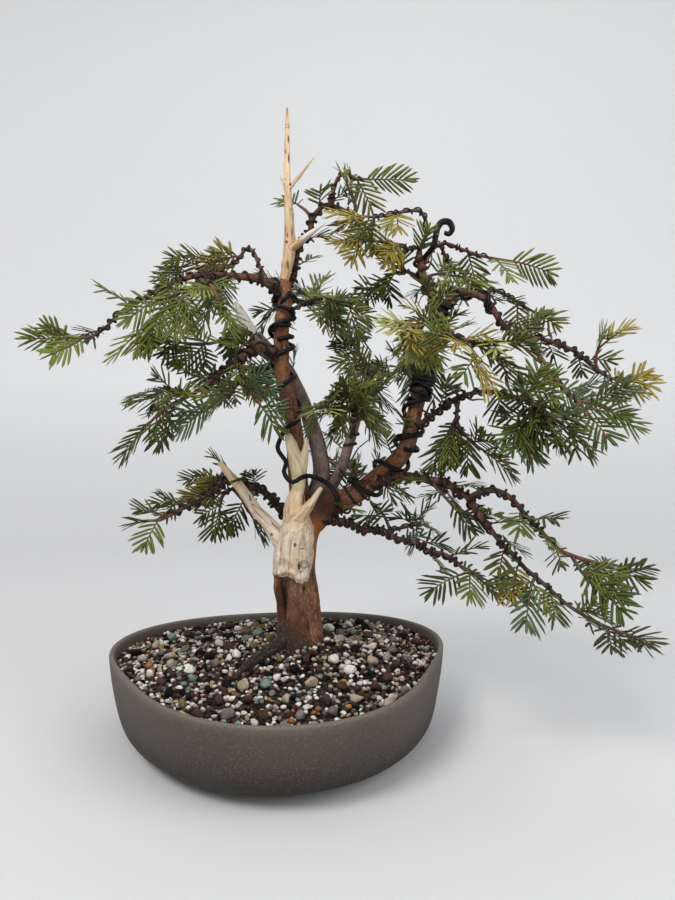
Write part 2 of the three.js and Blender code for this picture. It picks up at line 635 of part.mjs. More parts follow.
// Each mass is borne by a limb at a share of its length. Its first stem starts there and the others start
// on that stem. A stem lists the bends it takes, how much of it is bare, and the sizes of its sprays.
const MASSES = [
  { name: "foliage_left_tip", on: ["bough_high_left", 1], seed: 3, stems: [
    { to: [[-166, -59, 344]], tip: 34, side: 32, bare: 0.2, lift: 0.15 }] },
  { name: "foliage_left_low", on: ["bough_high_left", 0.4], seed: 5, stems: [
    { to: [[-75, -42, 386], [-84, -50, 376], [-100, -56, 362], [-112, -60, 350]], tip: 28 }] },
  { name: "foliage_left_top", on: ["bough_high_left", 0.1], seed: 7, stems: [
    { to: [[-18, -18, 415], [-23, -18, 427], [-30, -16, 431], [-40, -10, 422], [-56, 2, 419], [-74, 10, 423],
      [-92, 16, 420]], tip: 24, bare: 0.36, side: 36 },
    { at: 0.6, to: [[-66, 22, 424], [-72, 40, 418]], tip: 24, side: 34 }] },
  { name: "foliage_left_front", on: ["bough_high_left", 0.36], seed: 9, stems: [
    { to: [[-56, -60, 392], [-46, -82, 376], [-40, -94, 364]], tip: 24, side: 34 },
    { at: 0.4, to: [[-74, -70, 380], [-92, -80, 370]], tip: 24, side: 34 }] },
  { name: "foliage_mid_left_upper", on: ["leader_back", 0.93], seed: 11, stems: [
    { to: [[-34, -20, 358], [-54, -28, 346], [-72, -32, 344], [-84, -36, 344]], tip: 24, side: 34 }] },
  { name: "foliage_mid_left", on: ["bough_mid_left", 1], seed: 13, stems: [
    { to: [[-74, -64, 294], [-89, -70, 285], [-100, -74, 273]], tip: 28, bare: 0.1, side: 36 },
    { at: 0.2, to: [[-92, -40, 304], [-110, -24, 304]], tip: 24, bare: 0.4, side: 36 }] },
  { name: "foliage_mid_left_hanging", on: ["bough_mid_left", 0.5], seed: 15, stems: [
    { to: [[-30, -50, 309], [-20, -58, 298], [-12, -62, 288]], tip: 20, side: 28 },
    { at: 0.4, to: [[-38, -64, 296], [-52, -70, 286]], tip: 24, side: 30 }] },
  { name: "foliage_low_left_tip", on: ["bough_low_left", 1], seed: 17, stems: [
    { to: [[-108, -37, 191]], tip: 14, side: 22, bare: 0.1, lift: 0.15 }] },
  { name: "foliage_low_left", on: ["bough_low_left", 0.46], seed: 19, stems: [
    { to: [[-52, -3, 212], [-57, 0, 197]], tip: 20, side: 32 },
    { at: 0.3, to: [[-36, 6, 205], [-28, 10, 190]], tip: 20, side: 30 }] },
  { name: "foliage_low_left_back", on: ["bough_low_left", 0.36], seed: 21, stems: [
    { to: [[-50, 12, 226], [-66, 26, 222], [-84, 36, 212], [-104, 44, 202]], tip: 18, bare: 0.4,
      side: 28 }] },
  { name: "foliage_top", on: ["bough_top", 0.8], seed: 23, stems: [
    { to: [[49, -19, 486], [51, -20, 492], [59, -22, 496], [67, -24, 490], [77, -25, 489]], tip: 30,
      side: 26, bare: 0.75, lift: 0.1 }] },
  { name: "foliage_top_front", on: ["bough_top", 1], seed: 25, stems: [
    { to: [[67, -26, 464], [63, -28, 474]], tip: 18, side: 18 }] },
  { name: "foliage_top_left", on: ["bough_top", 0.63], seed: 27, stems: [
    { to: [[22, -12, 467], [15, -6, 474]], tip: 20, side: 22 }] },
  { name: "foliage_arch", on: ["bough_right_high", 1], seed: 29, stems: [
    { to: [[130, -18, 446], [124, -28, 459], [108, -38, 456], [94, -44, 451], [82, -50, 447],
      [68, -56, 446]], tip: 24, bare: 0.55, side: 28 },
    { at: 0.05, to: [[114, -18, 430], [104, -22, 433], [88, -30, 433], [72, -40, 430]], tip: 26,
      side: 30 }] },
  { name: "foliage_right_top", on: ["bough_right_high", 0.9], seed: 31, stems: [
    { to: [[138, -8, 434], [148, -12, 437], [164, -18, 429], [182, -22, 422], [206, -25, 417]], tip: 28,
      bare: 0.5, side: 34 },
    { at: 0.3, to: [[160, 14, 418], [168, 34, 412]], tip: 24, side: 32 }] },
  { name: "foliage_inner_top", on: ["bough_right_high", 0.84], seed: 33, stems: [
    { to: [[114, 4, 416], [98, 18, 416], [88, 30, 410]], tip: 24, side: 32 },
    { at: 0.05, to: [[140, -6, 411], [156, -8, 409]], tip: 26, side: 18 }] },
  { name: "foliage_outer_tip", on: ["bough_right_outer", 1], seed: 35, stems: [
    { to: [[280, -50, 312], [292, -54, 310]], tip: 18, side: 26, bare: 0.5 },
    { at: 0.08, to: [[267, -55, 334], [272, -58, 340]], tip: 20, side: 24, bare: 0.4 }] },
  { name: "foliage_outer_twig", on: ["bough_right_outer", 0.28], seed: 39, stems: [
    { to: [[188, -24, 392], [202, -16, 389], [222, -8, 380], [232, -4, 376]], tip: 20, bare: 0.5,
      side: 24 }] },
  { name: "foliage_outer_low", on: ["bough_right_outer", 0.62], seed: 41, stems: [
    { to: [[220, -50, 332], [230, -58, 312], [244, -64, 294], [262, -68, 288], [274, -72, 281]], tip: 22,
      bare: 0.45, side: 34 },
    { at: 0.4, to: [[250, -30, 302], [266, -10, 300]], tip: 26, side: 34 },
    { at: 0.7, to: [[254, -76, 278]], tip: 20, side: 30 }] },
  { name: "foliage_front_right", on: ["bough_right_high", 0.52], seed: 43, stems: [
    { to: [[144, -34, 352], [149, -58, 346], [155, -84, 336], [164, -98, 334], [176, -112, 332]], tip: 26,
      bare: 0.62 },
    { at: 0.72, to: [[150, -110, 330], [136, -120, 333]], tip: 22, side: 34 }] },
  { name: "foliage_mid_right", on: ["bough_right_mid", 0.7], seed: 45, stems: [
    { to: [[152, -46, 276], [162, -50, 260], [174, -56, 250]], tip: 22, bare: 0.25, side: 36 },
    { at: 0.3, to: [[143, -40, 262]], tip: 22, side: 28 }] },
  { name: "foliage_near_right", on: ["bough_right_mid", 1], seed: 47, stems: [
    { to: [[182, -76, 297], [194, -92, 291], [202, -108, 284], [204, -122, 272]], tip: 24, bare: 0.35,
      side: 36 },
    { at: 0.7, to: [[186, -126, 270]], tip: 24, side: 32 },
    { at: 0.75, to: [[220, -116, 268]], tip: 20, side: 32 }] },
  { name: "foliage_centre", on: ["bough_centre", 1], seed: 49, stems: [
    { to: [[72, 24, 344], [72, 34, 358]], tip: 22, side: 30 },
    { at: 0.1, to: [[76, -8, 320], [78, -36, 310]], tip: 24, side: 36 }] },
  { name: "foliage_centre_front", on: ["bough_centre", 0.5], seed: 51, stems: [
    { to: [[66, -24, 284], [62, -60, 290], [68, -90, 290]], tip: 26, bare: 0.3, side: 38 },
    { at: 0.5, to: [[44, -70, 286]], tip: 24, side: 36 }] },
  { name: "foliage_centre_upper", on: ["leader_front", 0.86], seed: 53, stems: [
    { to: [[26, -14, 386], [46, -24, 385], [60, -30, 377]], tip: 22, side: 24, bare: 0.3, lift: 0.15 },
    { at: 0.3, to: [[28, 14, 390], [32, 42, 394], [46, 62, 390]], tip: 28, bare: 0.35 },
    { at: 0.3, to: [[14, 16, 392], [0, 44, 400], [-14, 64, 394]], tip: 28, bare: 0.45 }] },
  { name: "foliage_fan", on: ["bough_right_high", 0.46], seed: 55, stems: [
    { to: [[130, -50, 360], [118, -84, 350], [104, -108, 344]], tip: 26, bare: 0.3, side: 38 }] },
  { name: "foliage_low_right_upper", on: ["bough_low_right_upper", 1], seed: 57, stems: [
    { to: [[242, -84, 166], [258, -88, 162], [268, -90, 158]], tip: 18, side: 32, bare: 0.1, lift: 0.1 },
    { at: 0.2, to: [[240, -96, 156], [246, -106, 150]], tip: 22, side: 26 }] },
  { name: "foliage_low_right_lower", on: ["bough_low_right_lower", 1], seed: 59, stems: [
    { to: [[213, -88, 146], [227, -94, 133], [244, -100, 122], [260, -104, 115], [270, -106, 112]], tip: 16,
      side: 28, bare: 0.2 },
    { at: 0.12, to: [[200, -98, 148], [197, -104, 142]], tip: 20, side: 24 }] },
  { name: "foliage_low_right_inner", on: ["bough_low_right", 0.6], seed: 63, stems: [
    { to: [[140, -46, 214], [148, -52, 204]], tip: 22, side: 26, bare: 0.3 },
    { at: 0.3, to: [[146, -20, 216], [152, -2, 212]], tip: 24, side: 30 }] },
  { name: "foliage_under_right", on: ["bough_under_right", 1], seed: 65, stems: [
    { to: [[170, -70, 147]], tip: 28, side: 36, bare: 0.2 },
    { at: 0.1, to: [[158, -74, 154], [148, -80, 152]], tip: 26, side: 28 }] },
  { name: "foliage_under_right_inner", on: ["bough_under_right", 0.5], seed: 67, stems: [
    { to: [[114, -22, 185], [128, 2, 184]], tip: 26, side: 32 },
    { at: 0.1, to: [[92, -22, 194], [84, -18, 203]], tip: 18, side: 20 }] },
  { name: "foliage_back_low", on: ["bough_right_low", 0.34], seed: 73, stems: [
    { to: [[66, 16, 216], [82, 44, 226], [98, 68, 230]], tip: 28, bare: 0.4 },
    { at: 0.5, to: [[56, 56, 232], [48, 76, 230]], tip: 26 }] },
  { name: "foliage_back_right", on: ["bough_back_right", 1], seed: 69, stems: [
    { to: [[108, 78, 332], [100, 94, 324]], tip: 28 },
    { at: 0.3, to: [[130, 84, 338]], tip: 26 },
    { at: 0.5, to: [[84, 80, 340]], tip: 26 }] },
  { name: "foliage_back_left", on: ["bough_back_left", 1], seed: 71, stems: [
    { to: [[-50, 84, 324], [-66, 92, 314]], tip: 28 },
    { at: 0.3, to: [[-30, 94, 330]], tip: 26 },
    { at: 0.5, to: [[-68, 76, 326]], tip: 26 }] },
];

// Stems of every mass are laid out before any spray grows, so that sprays keep clear of them all
function layStems({ name, on, stems }) {
  const laid = [];
  for (const { to, at, bare = 0.3, tip = 30, side = SPRAY_LENGTH, lift = 0 } of stems) {
    const isFirst = laid.length === 0;
    const start = isFirst ? woods[on[0]].curve.getPointAt(on[1]) : laid[0].curve.getPointAt(at);
    const curve = curveThrough([start, ...to.map(vector)]);
    const count = Math.max(2, Math.round(curve.getLength() / STEM_STEP));
    const radiusAt = (share) => mix(...STEM_RADIUS, share) * (isFirst ? 1 : SIDE_STEM_SIZE);
    occupy(curve, count, radiusAt, name, "stem");
    laid.push({ curve, count, radiusAt, bare, tip, side, lift });
  }
  return laid;
}

function stemSolid({ curve, count, radiusAt }) {
  return loft(stations(curve, count).map((at) => ringAround(at, 3, () => radiusAt(at.share))));
}

function makeMass({ name, seed }, laid, wood) {
  const random = seeded(seed);
  const parts = laid.map(stemSolid);
  laid.forEach((stem) => parts.push(...leafStem(stem, name, random)));
  return largest(parts.reduce((all, one) => all.add(one)).subtract(wood));
}

LIMBS.forEach(layOut);
const trunkParts = [woods.trunk, plainLimb({ path: ROOT_PATH, radii: ROOT_RADII, sides: 9, step: 14 }),
  plainLimb({ path: FLANGE_PATH, radii: FLANGE_RADII })];
const shariParts = [SHARI, SHARI_PRONG, SHARI_SNAG].map(plainLimb);
const leftSnag = plainLimb(LEFT_SNAG);
const spireParts = [plainLimb(SPIRE), ...SPIRE_STUBS.map(plainLimb)];
const backSnag = plainLimb(BACK_SNAG);
for (const limb of [...trunkParts.slice(1), ...shariParts, leftSnag, ...spireParts, backSnag]) {
  occupy(limb.curve, 6, (share) => along(limb.radii, share) * BARK_SWELL, "deadwood", "limb");
}

// Below the ground cut nothing of the tree is kept
function aboveGround(shape, level) {
  const low = level - 60;
  const corners = [[-400, -400], [400, -400], [400, 400], [-400, 400]];
  const block = loft([low, level].map((z) => corners.map(([x, y]) => new THREE.Vector3(x, y, z))));
  return shape.subtract(block);
}

addNode("bowl", "bowl", makeBowl());
const shari = joined(shariParts, 0);
const shariGrown = joined(shariParts, GAP);
const trunkWhole = joined(trunkParts, 0);
const trunkGrown = joined(trunkParts, GAP);
const deadGrown = shariGrown.add(limbSolid(leftSnag, GAP));
addNode("grit", "grit", largest(makeGrit().subtract(aboveGround(trunkGrown, GROUND_CUT - GAP))));
addNode("trunk", "bark", largest(aboveGround(trunkWhole.subtract(deadGrown), GROUND_CUT)));
addNode("deadwood_trunk", "deadwood", largest(shari));
addNode("deadwood_left", "deadwood", largest(limbSolid(leftSnag, 0).subtract(shariGrown)));

// Limbs are made from the trunk outwards, each cut back from the ones made before it
let standing = trunkGrown.add(deadGrown);
for (const limb of LIMBS.slice(1)) {
  addNode(limb.name, limb.material, largest(limbSolid(limb, 0).subtract(standing)));
  standing = standing.add(limbSolid(limb, GAP));
}
addNode("deadwood_spire", "deadwood", largest(joined(spireParts, 0).subtract(standing)));
addNode("deadwood_back", "deadwood", largest(limbSolid(backSnag, 0).subtract(standing)));
const wood = standing.add(joined([...spireParts, backSnag], GAP));
for (const wire of WIRES) addNode(wire.name, "wire", largest(makeWire(wire).subtract(wood)));
const laidStems = MASSES.map(layStems);
MASSES.forEach((mass, i) => addNode(mass.name, "foliage", makeMass(mass, laidStems[i], wood)));

export default model;
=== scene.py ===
"""A wired bonsai yew with stripped deadwood, in a low rounded bowl filled with grit.

The plant is worked out in millimetres by the rule that its solids follow, carried on to finer twigs and to
single needles, and turned to metres as each mesh is made.
"""

import math

import bmesh
import bpy
import numpy as np
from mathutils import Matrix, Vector, kdtree


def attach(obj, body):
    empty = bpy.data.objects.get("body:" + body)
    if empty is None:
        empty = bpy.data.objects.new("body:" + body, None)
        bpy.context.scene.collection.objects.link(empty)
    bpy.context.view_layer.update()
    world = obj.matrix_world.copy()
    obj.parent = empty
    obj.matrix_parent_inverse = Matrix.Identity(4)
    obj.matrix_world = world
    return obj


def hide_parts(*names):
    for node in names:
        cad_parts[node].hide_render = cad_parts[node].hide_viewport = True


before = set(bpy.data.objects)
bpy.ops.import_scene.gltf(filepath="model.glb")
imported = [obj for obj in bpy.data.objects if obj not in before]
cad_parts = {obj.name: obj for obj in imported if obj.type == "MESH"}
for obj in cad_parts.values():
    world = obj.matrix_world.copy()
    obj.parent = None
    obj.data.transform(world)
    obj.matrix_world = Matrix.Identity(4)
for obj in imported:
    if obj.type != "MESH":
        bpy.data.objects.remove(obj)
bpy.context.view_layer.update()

MM = 0.001
UP = np.array([0.0, 0.0, 1.0])
TAU = 2 * math.pi

# The draw that the solids use too
DRAW_LIMIT = 2147483647
DRAW_FACTOR = 16807
SEED_FACTOR = 7919
SEED_SHIFT = 17

# How the noise mixes the numbers of a cell
CELL_FACTORS = (73856093, 19349663, 83492791)
CELL_MIX = 1274126177
CELL_MASK = 0x7FFFFFFF
CELL_LEVELS = 4096

# Curves
CURVE_SAMPLES = 201
HEADING_STEP = 1e-4
STEEP = 0.9

# Bowl and ground, as in the solids
BOWL_RADIUS = 159
BOWL_HEIGHT = 70
BOWL_WALL = 5
BOWL_FLOOR = 8
FOOT_ROUND = 3
GRIT_EDGE_HEIGHT = 61
GRIT_CROWN_HEIGHT = 76
GRIT_CROWN = (17, -4)
GRIT_SPREAD = 130
GROUND_CUT = 71
BOWL_STEPS = 288
# Share of the radius, and of the oval and three-cornered shape, at even steps from the foot to the rim
BOWL_FLARE = (0.74, 0.84, 0.9, 0.93, 0.95, 0.963, 0.973, 0.982, 0.989, 0.995, 1)
BOWL_SHAPING = (0.2, 0.35, 0.5, 0.63, 0.75, 0.82, 0.86, 0.9, 0.94, 0.97, 1)
BOWL_OVAL = -7
BOWL_CORNERS = (12, -5)
BOWL_WAVES = 0.35
BOWL_WAVE_HEIGHT = 30
LIP_START = 0.2
# Colours of the stoneware by height in metres, with painted shade that darkens it towards its foot and a
# painted highlight on its lip; and the colours of its speckles
BOWL_PAINTED_SHADE_AND_HIGHLIGHT = [(0.0, (0.006, 0.005, 0.004)), (0.02, (0.019, 0.015, 0.011)), (0.04, (0.054, 0.043, 0.032)),
    (0.0655, (0.082, 0.065, 0.048)), (0.0675, (0.14, 0.118, 0.095))]
PALE_SPECKLE = (0.2, 0.165, 0.125)
DARK_SPECKLE = (0.045, 0.038, 0.034)

# Large stones stand on the ground by the rule of the solids
STONE_SPACING = 26
STONE_ROW_SPACING = 22
STONE_SHIFT = 9
STONE_RADII = (4.6, 7)
STONE_HEIGHTS = (3.4, 5.2)
STONE_CLEARANCE = 2
STONE_SEED = 77
STONE_WEAR = (0.62, 1)
STONE_WIDTHS = (0.8, 1)
STONE_SINK = 4

# Small stones crowd the ground between them
PEBBLE_COUNT = 3500
PEBBLE_TRIES = 30000
PEBBLE_RADII = (1.9, 3.7)
PEBBLE_SINK = 2.5
PEBBLE_LIFT = (-0.15, 0.5)
PEBBLE_LEVEL = 64
PEBBLE_OVERLAP = 0.72
PEBBLE_SIZES = ((0.85, 0.7, 0.6), (1, 0.95, 0.85))
PEBBLE_FLATS = 7
PEBBLE_FLAT_LEVELS = (0.5, 0.8)
PEBBLE_WEAR = (0.75, 1)
PEBBLE_WIDTHS = (0.75, 1)
PEBBLE_DEPTHS = (0.62, 0.9)
PEBBLE_BUMPS = 0.22
PEBBLE_FINENESS = 1.5
PEBBLE_EDGE = 0.8
NOISE_PLACES = (-50, 50)
TRUNK_ROOM = 20
GRIT_SEED = 11

# The ground as it is drawn
BED_SINK = 5.5
BED_GAP = 0.4
BED_ROUGHNESS = 0.9
BACK_RISE = 5
BACK_START = 30
BACK_EASE = 0.15
HEAP_MIDDLE = (32, -8)
HEAP_REACH = 30
HEAP_HEIGHT = 7

# Kinds of stone: the colour, and how often it shows among the small and among the large stones
STONES = [
    ("white_pumice", (0.64, 0.6, 0.54), 0.18, 0.1),
    ("cream_pumice", (0.36, 0.29, 0.22), 0.15, 0.12),
    ("grey_pumice", (0.16, 0.145, 0.13), 0.11, 0.12),
    ("mauve_lava", (0.062, 0.032, 0.029), 0.17, 0.18),
    ("black_lava", (0.007, 0.006, 0.005), 0.16, 0.14),
    ("brown_lava", (0.055, 0.028, 0.017), 0.13, 0.18),
    ("ochre_stone", (0.36, 0.17, 0.045), 0.03, 0.03),
    ("orange_stone", (0.3, 0.09, 0.03), 0.012, 0.0),
    ("green_stone", (0.18, 0.24, 0.195), 0.035, 0.05),
    ("olive_stone", (0.15, 0.115, 0.06), 0.023, 0.08),
]
# The ground under the stones: partly dark soil, partly painted shade in the gaps between them
SOIL_AND_GAP_SHADE_COLORS = [(0.35, (0.005, 0.004, 0.003)), (0.7, (0.035, 0.026, 0.021))]

# Fineness of the fused wood
BARK_VOXEL = 1.0
THIN_VOXEL = 0.8
DRY_VOXEL = 0.6
RING_STEP = 1.5
AROUND_STEP = 1.3
LEAST_AROUND = 12
# How the end of a limb closes: the width of each ring, and how far past the end it lies, as shares
LIMB_END = ((0.8, 0.18), (0.45, 0.32))

# Room that wood takes: owners that stand for wood and for nobody, and how it is noted
WOOD, NOBODY = -1, -2
MOST_ROOMS = 6000
BARK_SWELL = 1.08
LIMB_ROOM_STEP = 9
DRY_ROOM_STEPS = 6

# The spray rule of the solids
NEEDLE_PITCH = 10.5
SPRAY_SPACING = 28
SPRAY_LENGTH = 42
SPRAY_ANGLE = 52
SPRAY_ANGLE_JITTER = 16
SPRAY_ROLL = (25, 62)
SPRAY_DROOP = (0, 0.2)
SPRAY_SIZES = (0.85, 1.12)
OUTER_SPRAY_SIZE = 0.75
TIP_PLACE = 0.97
RIB_RADIUS = 1
RIB_CLEARANCE = 2
STEM_RADIUS = (2.1, 1.5)
SIDE_STEM_SIZE = 0.85
STEM_STEP = 16

# Single needles: size, lean in degrees from foot to tip of a shoot, and the rings that each is made of
NEEDLE_LENGTH = 22
NEEDLE_WIDTH = 2.25
NEEDLE_THICKNESS = 0.45
NEEDLE_SPACING = 3.6
NEEDLE_LEAN = (60, 38)
NEEDLE_LEAN_JITTER = 4.5
NEEDLE_RAISED = (10, 8)
NEEDLE_LENGTHS = (0.86, 1.08)
NEEDLE_SAG = 0.1
NEEDLE_SAGS = (0.2, 1.8)
NEEDLE_CURL = 0.1
NEEDLE_CLEARANCE = 0.4
NEEDLE_TWIST = 0.2
NEEDLE_TWIST_JITTER = 0.16
TIP_NEEDLES = 3
TIP_NEEDLE_LENGTHS = (0.5, 0.72)
TIP_NEEDLE_SPREAD = np.array([[-0.3], [0], [0.3]])
TIP_NEEDLE_JITTER = 0.22
# A comb of needles: where on its shoot it starts and how much of it bears them, how short they are at the
# foot, how soon they reach their full length and how much of it they lose at the tip
COMB_START = 0.05
COMB_SHARE = 0.95
COMB_LEAST = 4
COMB_FOOT = 0.66
COMB_FILLING = 1.8
COMB_TIP_LOSS = 0.32
RING_PLACES = np.array([0.0, 0.22, 0.8])
RING_WIDTHS = np.array([0.45, 1.0, 0.95])

# Shoots: thickness from foot to tip, lengths, and angles in degrees
SHOOT_RADIUS = (0.95, 0.5)
SIDE_SHOOT_RADIUS = (0.7, 0.4)
SMALL_SHOOT_RADIUS = (0.75, 0.45)
SHOOT_STEP = 6
SHOOT_SIDES = 5
SIDE_SHOOT_PLACES = (0.2, 0.62)
SIDE_SHOOT_LENGTH = (11, 19)
SIDE_SHOOT_ROOM = 12
SIDE_SHOOT_ROLL = (-28, 28)
SIDE_SHOOT_ANGLE = (36, 56)
SIDE_SHOOT_FULL = 1.15
SIDE_SHOOT_LOSS = 0.5
SIDE_SHOOT_DROOP = (0, 0.12)
SMALL_SHOOT_LENGTH = (12, 24)
SMALL_SHOOT_DROOP = (0, 0.2)
BETWEEN_SPACING = 17
BETWEEN_ROLL = (-80, 80)
BETWEEN_ANGLE = (38, 70)
SPRIG_SPACING = 13
SPRIG_SIDE = (-125, 125)
SPRIG_ROLL = (-40, 40)
SPRIG_START = 0.25
SPRIG_LEAN = (0.4, 0.9)
SPRIG_LIFT = 1.5
SPRIG_SEED = 101
FIRST_SPRIG_LIMB = 3
UNEVEN_PLACE = (0.2, 0.8)
# From which share on a shoot has to be clear, and by how much; and the size of its needles
SIDE_SHOOT_CLEAR, SIDE_NEEDLE_SIZE = (0.3, 1), 0.9
BETWEEN_CLEAR, BETWEEN_NEEDLE_SIZE = (0.2, 1.5), 0.92
SPRIG_CLEAR, SPRIG_NEEDLE_SIZE = (0.3, 1.5), 0.9
# Stems as they are drawn: thickness from foot to tip, and as the wire on them is wound
STEM_DRAWN = (1.9, 1.1)
STEM_WOUND = (1.9, 1.3)
STEM_RING_STEP = 3
STEM_SIDES = 7
# A bud from its foot to its point: how far along each ring lies and how far out it reaches
BUD_FORM = ((-0.4, 0.5), (0.7, 1.1), (1.9, 0.9), (2.9, 0.15))

# How often the twigs, buds and greens fall out one way
YOUNG_CHANCE = 0.75
BUD_CHANCE = 0.4
BROWN_STEM_CHANCE = 0.6
BROWN_TWIG_CHANCE = 0.65
SAME_GREEN_CHANCE = 0.7
BARE_STRETCH_SKIP = 0.6
SPRIG_SKIP = 0.25

# Each limb starts on the middle line of the one that bears it and follows the bends it was wired to
LIMBS = [
    dict(name="trunk", gnarl=0.07, radii=[23, 19.5, 18.5, 18.5, 18.5, 17.5, 15],
        path=[(17, -3, GROUND_CUT), (16, -3, 92), (15, -3, 116), (12, -3, 139), (14, -2, 163),
            (20, -2, 187), (25, -1, 206)]),
    dict(name="leader_front", start=("trunk", 0.84), radii=[11, 9, 8.2, 7.6, 7, 7, 6.8, 6.6],
        path=[(16, -3, 216), (14, -6, 240), (12, -9, 270), (7, -11, 297), (2, -12, 318), (1, -12, 360),
            (4, -12, 386), (2, -12, 402)]),
    dict(name="leader_back", start=("trunk", 0.86), radii=[11, 9, 8.2, 7.8, 6.6, 6, 7, 7.6],
        path=[(35, 6, 225), (34, 11, 250), (28, 14, 271), (22, 14, 290), (10, 10, 317), (-1, 6, 332),
            (-16, 0, 345), (-25, -4, 354)]),
    dict(name="bough_right_low", start=("trunk", 0.8), radii=[13, 12.4, 9.4, 8.2, 7.6, 7],
        path=[(42, -9, 201), (58, -13, 208), (75, -16, 218), (90, -18, 231), (104, -20, 243),
            (112, -22, 256), (116, -22, 272)]),
    dict(name="bough_right_high", start=("bough_right_low", 1), radii=[6.8, 6.4, 5.6, 5, 4.6, 3.8, 3],
        path=[(122, -20, 296), (128, -19, 318), (136, -18, 341), (141, -17, 363), (140, -16, 378),
            (134, -14, 393), (127, -12, 409), (124, -10, 430)]),
    dict(name="bough_centre", start=("leader_back", 0.1), radii=[5.8, 5.2, 4.6, 3.8, 3],
        path=[(50, 9, 226), (63, 12, 262), (70, 14, 285), (80, 16, 313), (80, 16, 329)]),
    dict(name="bough_low_right", start=("bough_right_low", 0.52), radii=[4.8, 4.2, 3.8, 3.4],
        path=[(96, -28, 227), (112, -32, 229), (131, -36, 226), (142, -41, 225), (152, -46, 217),
            (162, -52, 212)]),
    dict(name="bough_low_right_upper", start=("bough_low_right", 1), radii=[3.1, 2.7, 2.3],
        path=[(175, -54, 218), (185, -59, 217), (194, -64, 211), (204, -70, 198), (217, -76, 183),
            (228, -80, 171)]),
    dict(name="bough_low_right_lower", start=("bough_low_right", 0.97), radii=[3.1, 2.7, 2.3],
        path=[(165, -60, 202), (173, -65, 191), (182, -70, 178), (190, -76, 169), (199, -82, 158)]),
    dict(name="bough_under_right", start=("trunk", 0.9), radii=[3.8, 3.2, 2.6, 2.1],
        path=[(48, -18, 190), (62, -24, 188), (74, -27, 182), (88, -31, 183), (102, -38, 176),
            (116, -44, 174), (128, -49, 167), (142, -57, 164), (157, -64, 152)]),
    dict(name="bough_low_left", start=("trunk", 0.82), radii=[4.6, 3.8, 3.2, 2.6, 2.1],
        path=[(0, 6, 196), (-9, 6, 207), (-17, 3, 214), (-28, -2, 219), (-44, -10, 226), (-54, -16, 220),
            (-70, -22, 208), (-86, -28, 200), (-101, -34, 192)]),
    dict(name="bough_high_left", start=("leader_front", 0.93), radii=[4.8, 4, 3.2, 2.5, 2.1],
        path=[(-14, -18, 402), (-39, -26, 404), (-64, -32, 403), (-76, -34, 401), (-90, -40, 394),
            (-104, -44, 386), (-117, -47, 377), (-131, -50, 367), (-143, -54, 353), (-154, -56, 345)]),
    dict(name="bough_mid_left", start=("leader_front", 0.66), radii=[4.4, 3.8, 3, 2.6],
        path=[(-11, -22, 341), (-25, -32, 337), (-36, -42, 327), (-48, -50, 315), (-62, -56, 302)]),
    dict(name="bough_top", start=("leader_front", 0.97), radii=[3.2, 3.2, 3, 2.3],
        path=[(11, -4, 408), (13, -4, 421), (16, -6, 436), (26, -12, 447), (29, -14, 459), (39, -17, 469),
            (49, -20, 467), (64, -24, 459)]),
    dict(name="bough_right_outer", start=("bough_right_high", 0.62), radii=[4.2, 3.6, 2.9, 2.4, 2.1],
        path=[(154, -22, 389), (171, -26, 388), (183, -30, 379), (192, -34, 362), (205, -36, 351),
            (228, -40, 346), (251, -44, 336), (266, -48, 322)]),
    dict(name="bough_right_mid", start=("bough_right_low", 0.96), radii=[3.2, 2.7, 2.2],
        path=[(129, -30, 279), (142, -40, 289), (155, -50, 297), (172, -62, 300)]),
    dict(name="bough_back_right", start=("bough_right_high", 0.3), radii=[4, 3.4, 2.6],
        path=[(128, 4, 322), (122, 34, 334), (112, 62, 336)]),
    dict(name="bough_back_left", start=("leader_back", 0.66), radii=[4, 3.4, 2.6],
        path=[(2, 30, 326), (-16, 54, 334), (-38, 74, 330)]),
]
# Limbs with smooth grey bark
GREY_LIMBS = ("leader_back", "bough_centre")
# How much slimmer the bark is drawn at the tips of the outer boughs than the room that they hold
SLIM_TIPS = {"bough_high_left": 0.6, "bough_mid_left": 0.8, "bough_low_left": 0.8,
    "bough_right_outer": 0.75, "bough_low_right_upper": 0.75, "bough_low_right_lower": 0.75,
    "bough_under_right": 0.75, "bough_top": 0.75, "bough_right_mid": 0.8, "bough_low_right": 0.85}
# The limbs as thick as the trunk's own wood; the others are boughs
STOUT = ("trunk", "leader_front", "bough_right_low", "bough_right_high")
# The root that runs forward over the grit, and the flange of bark at the left of the trunk's foot
ROOT = dict(name="root", gnarl=0.16, radii=[10, 6.8, 5.2, 4.3, 3.4, 2.2],
    path=[(14, -5, 86), (3, -15, 82), (-6, -26, 78.5), (-17, -45, 75.5), (-25, -64, 73), (-32, -79, 69)])
FLANGE = dict(name="flange", radii=[9, 7, 6.5, 6.5, 4],
    path=[(10, -7, GROUND_CUT), (5, -9, 92), (3, -10, 112), (0, -11, 132), (4, -8, 150)])
# The groove between the trunk and its flange
GROOVE_FOOT = 88
GROOVE_LENGTH = 56
GROOVE_PLACE = 5
GROOVE_WANDER = 1.5
GROOVE_DEPTH = 9
GROOVE_WIDTH = 3
GROOVE_FRONT = -10

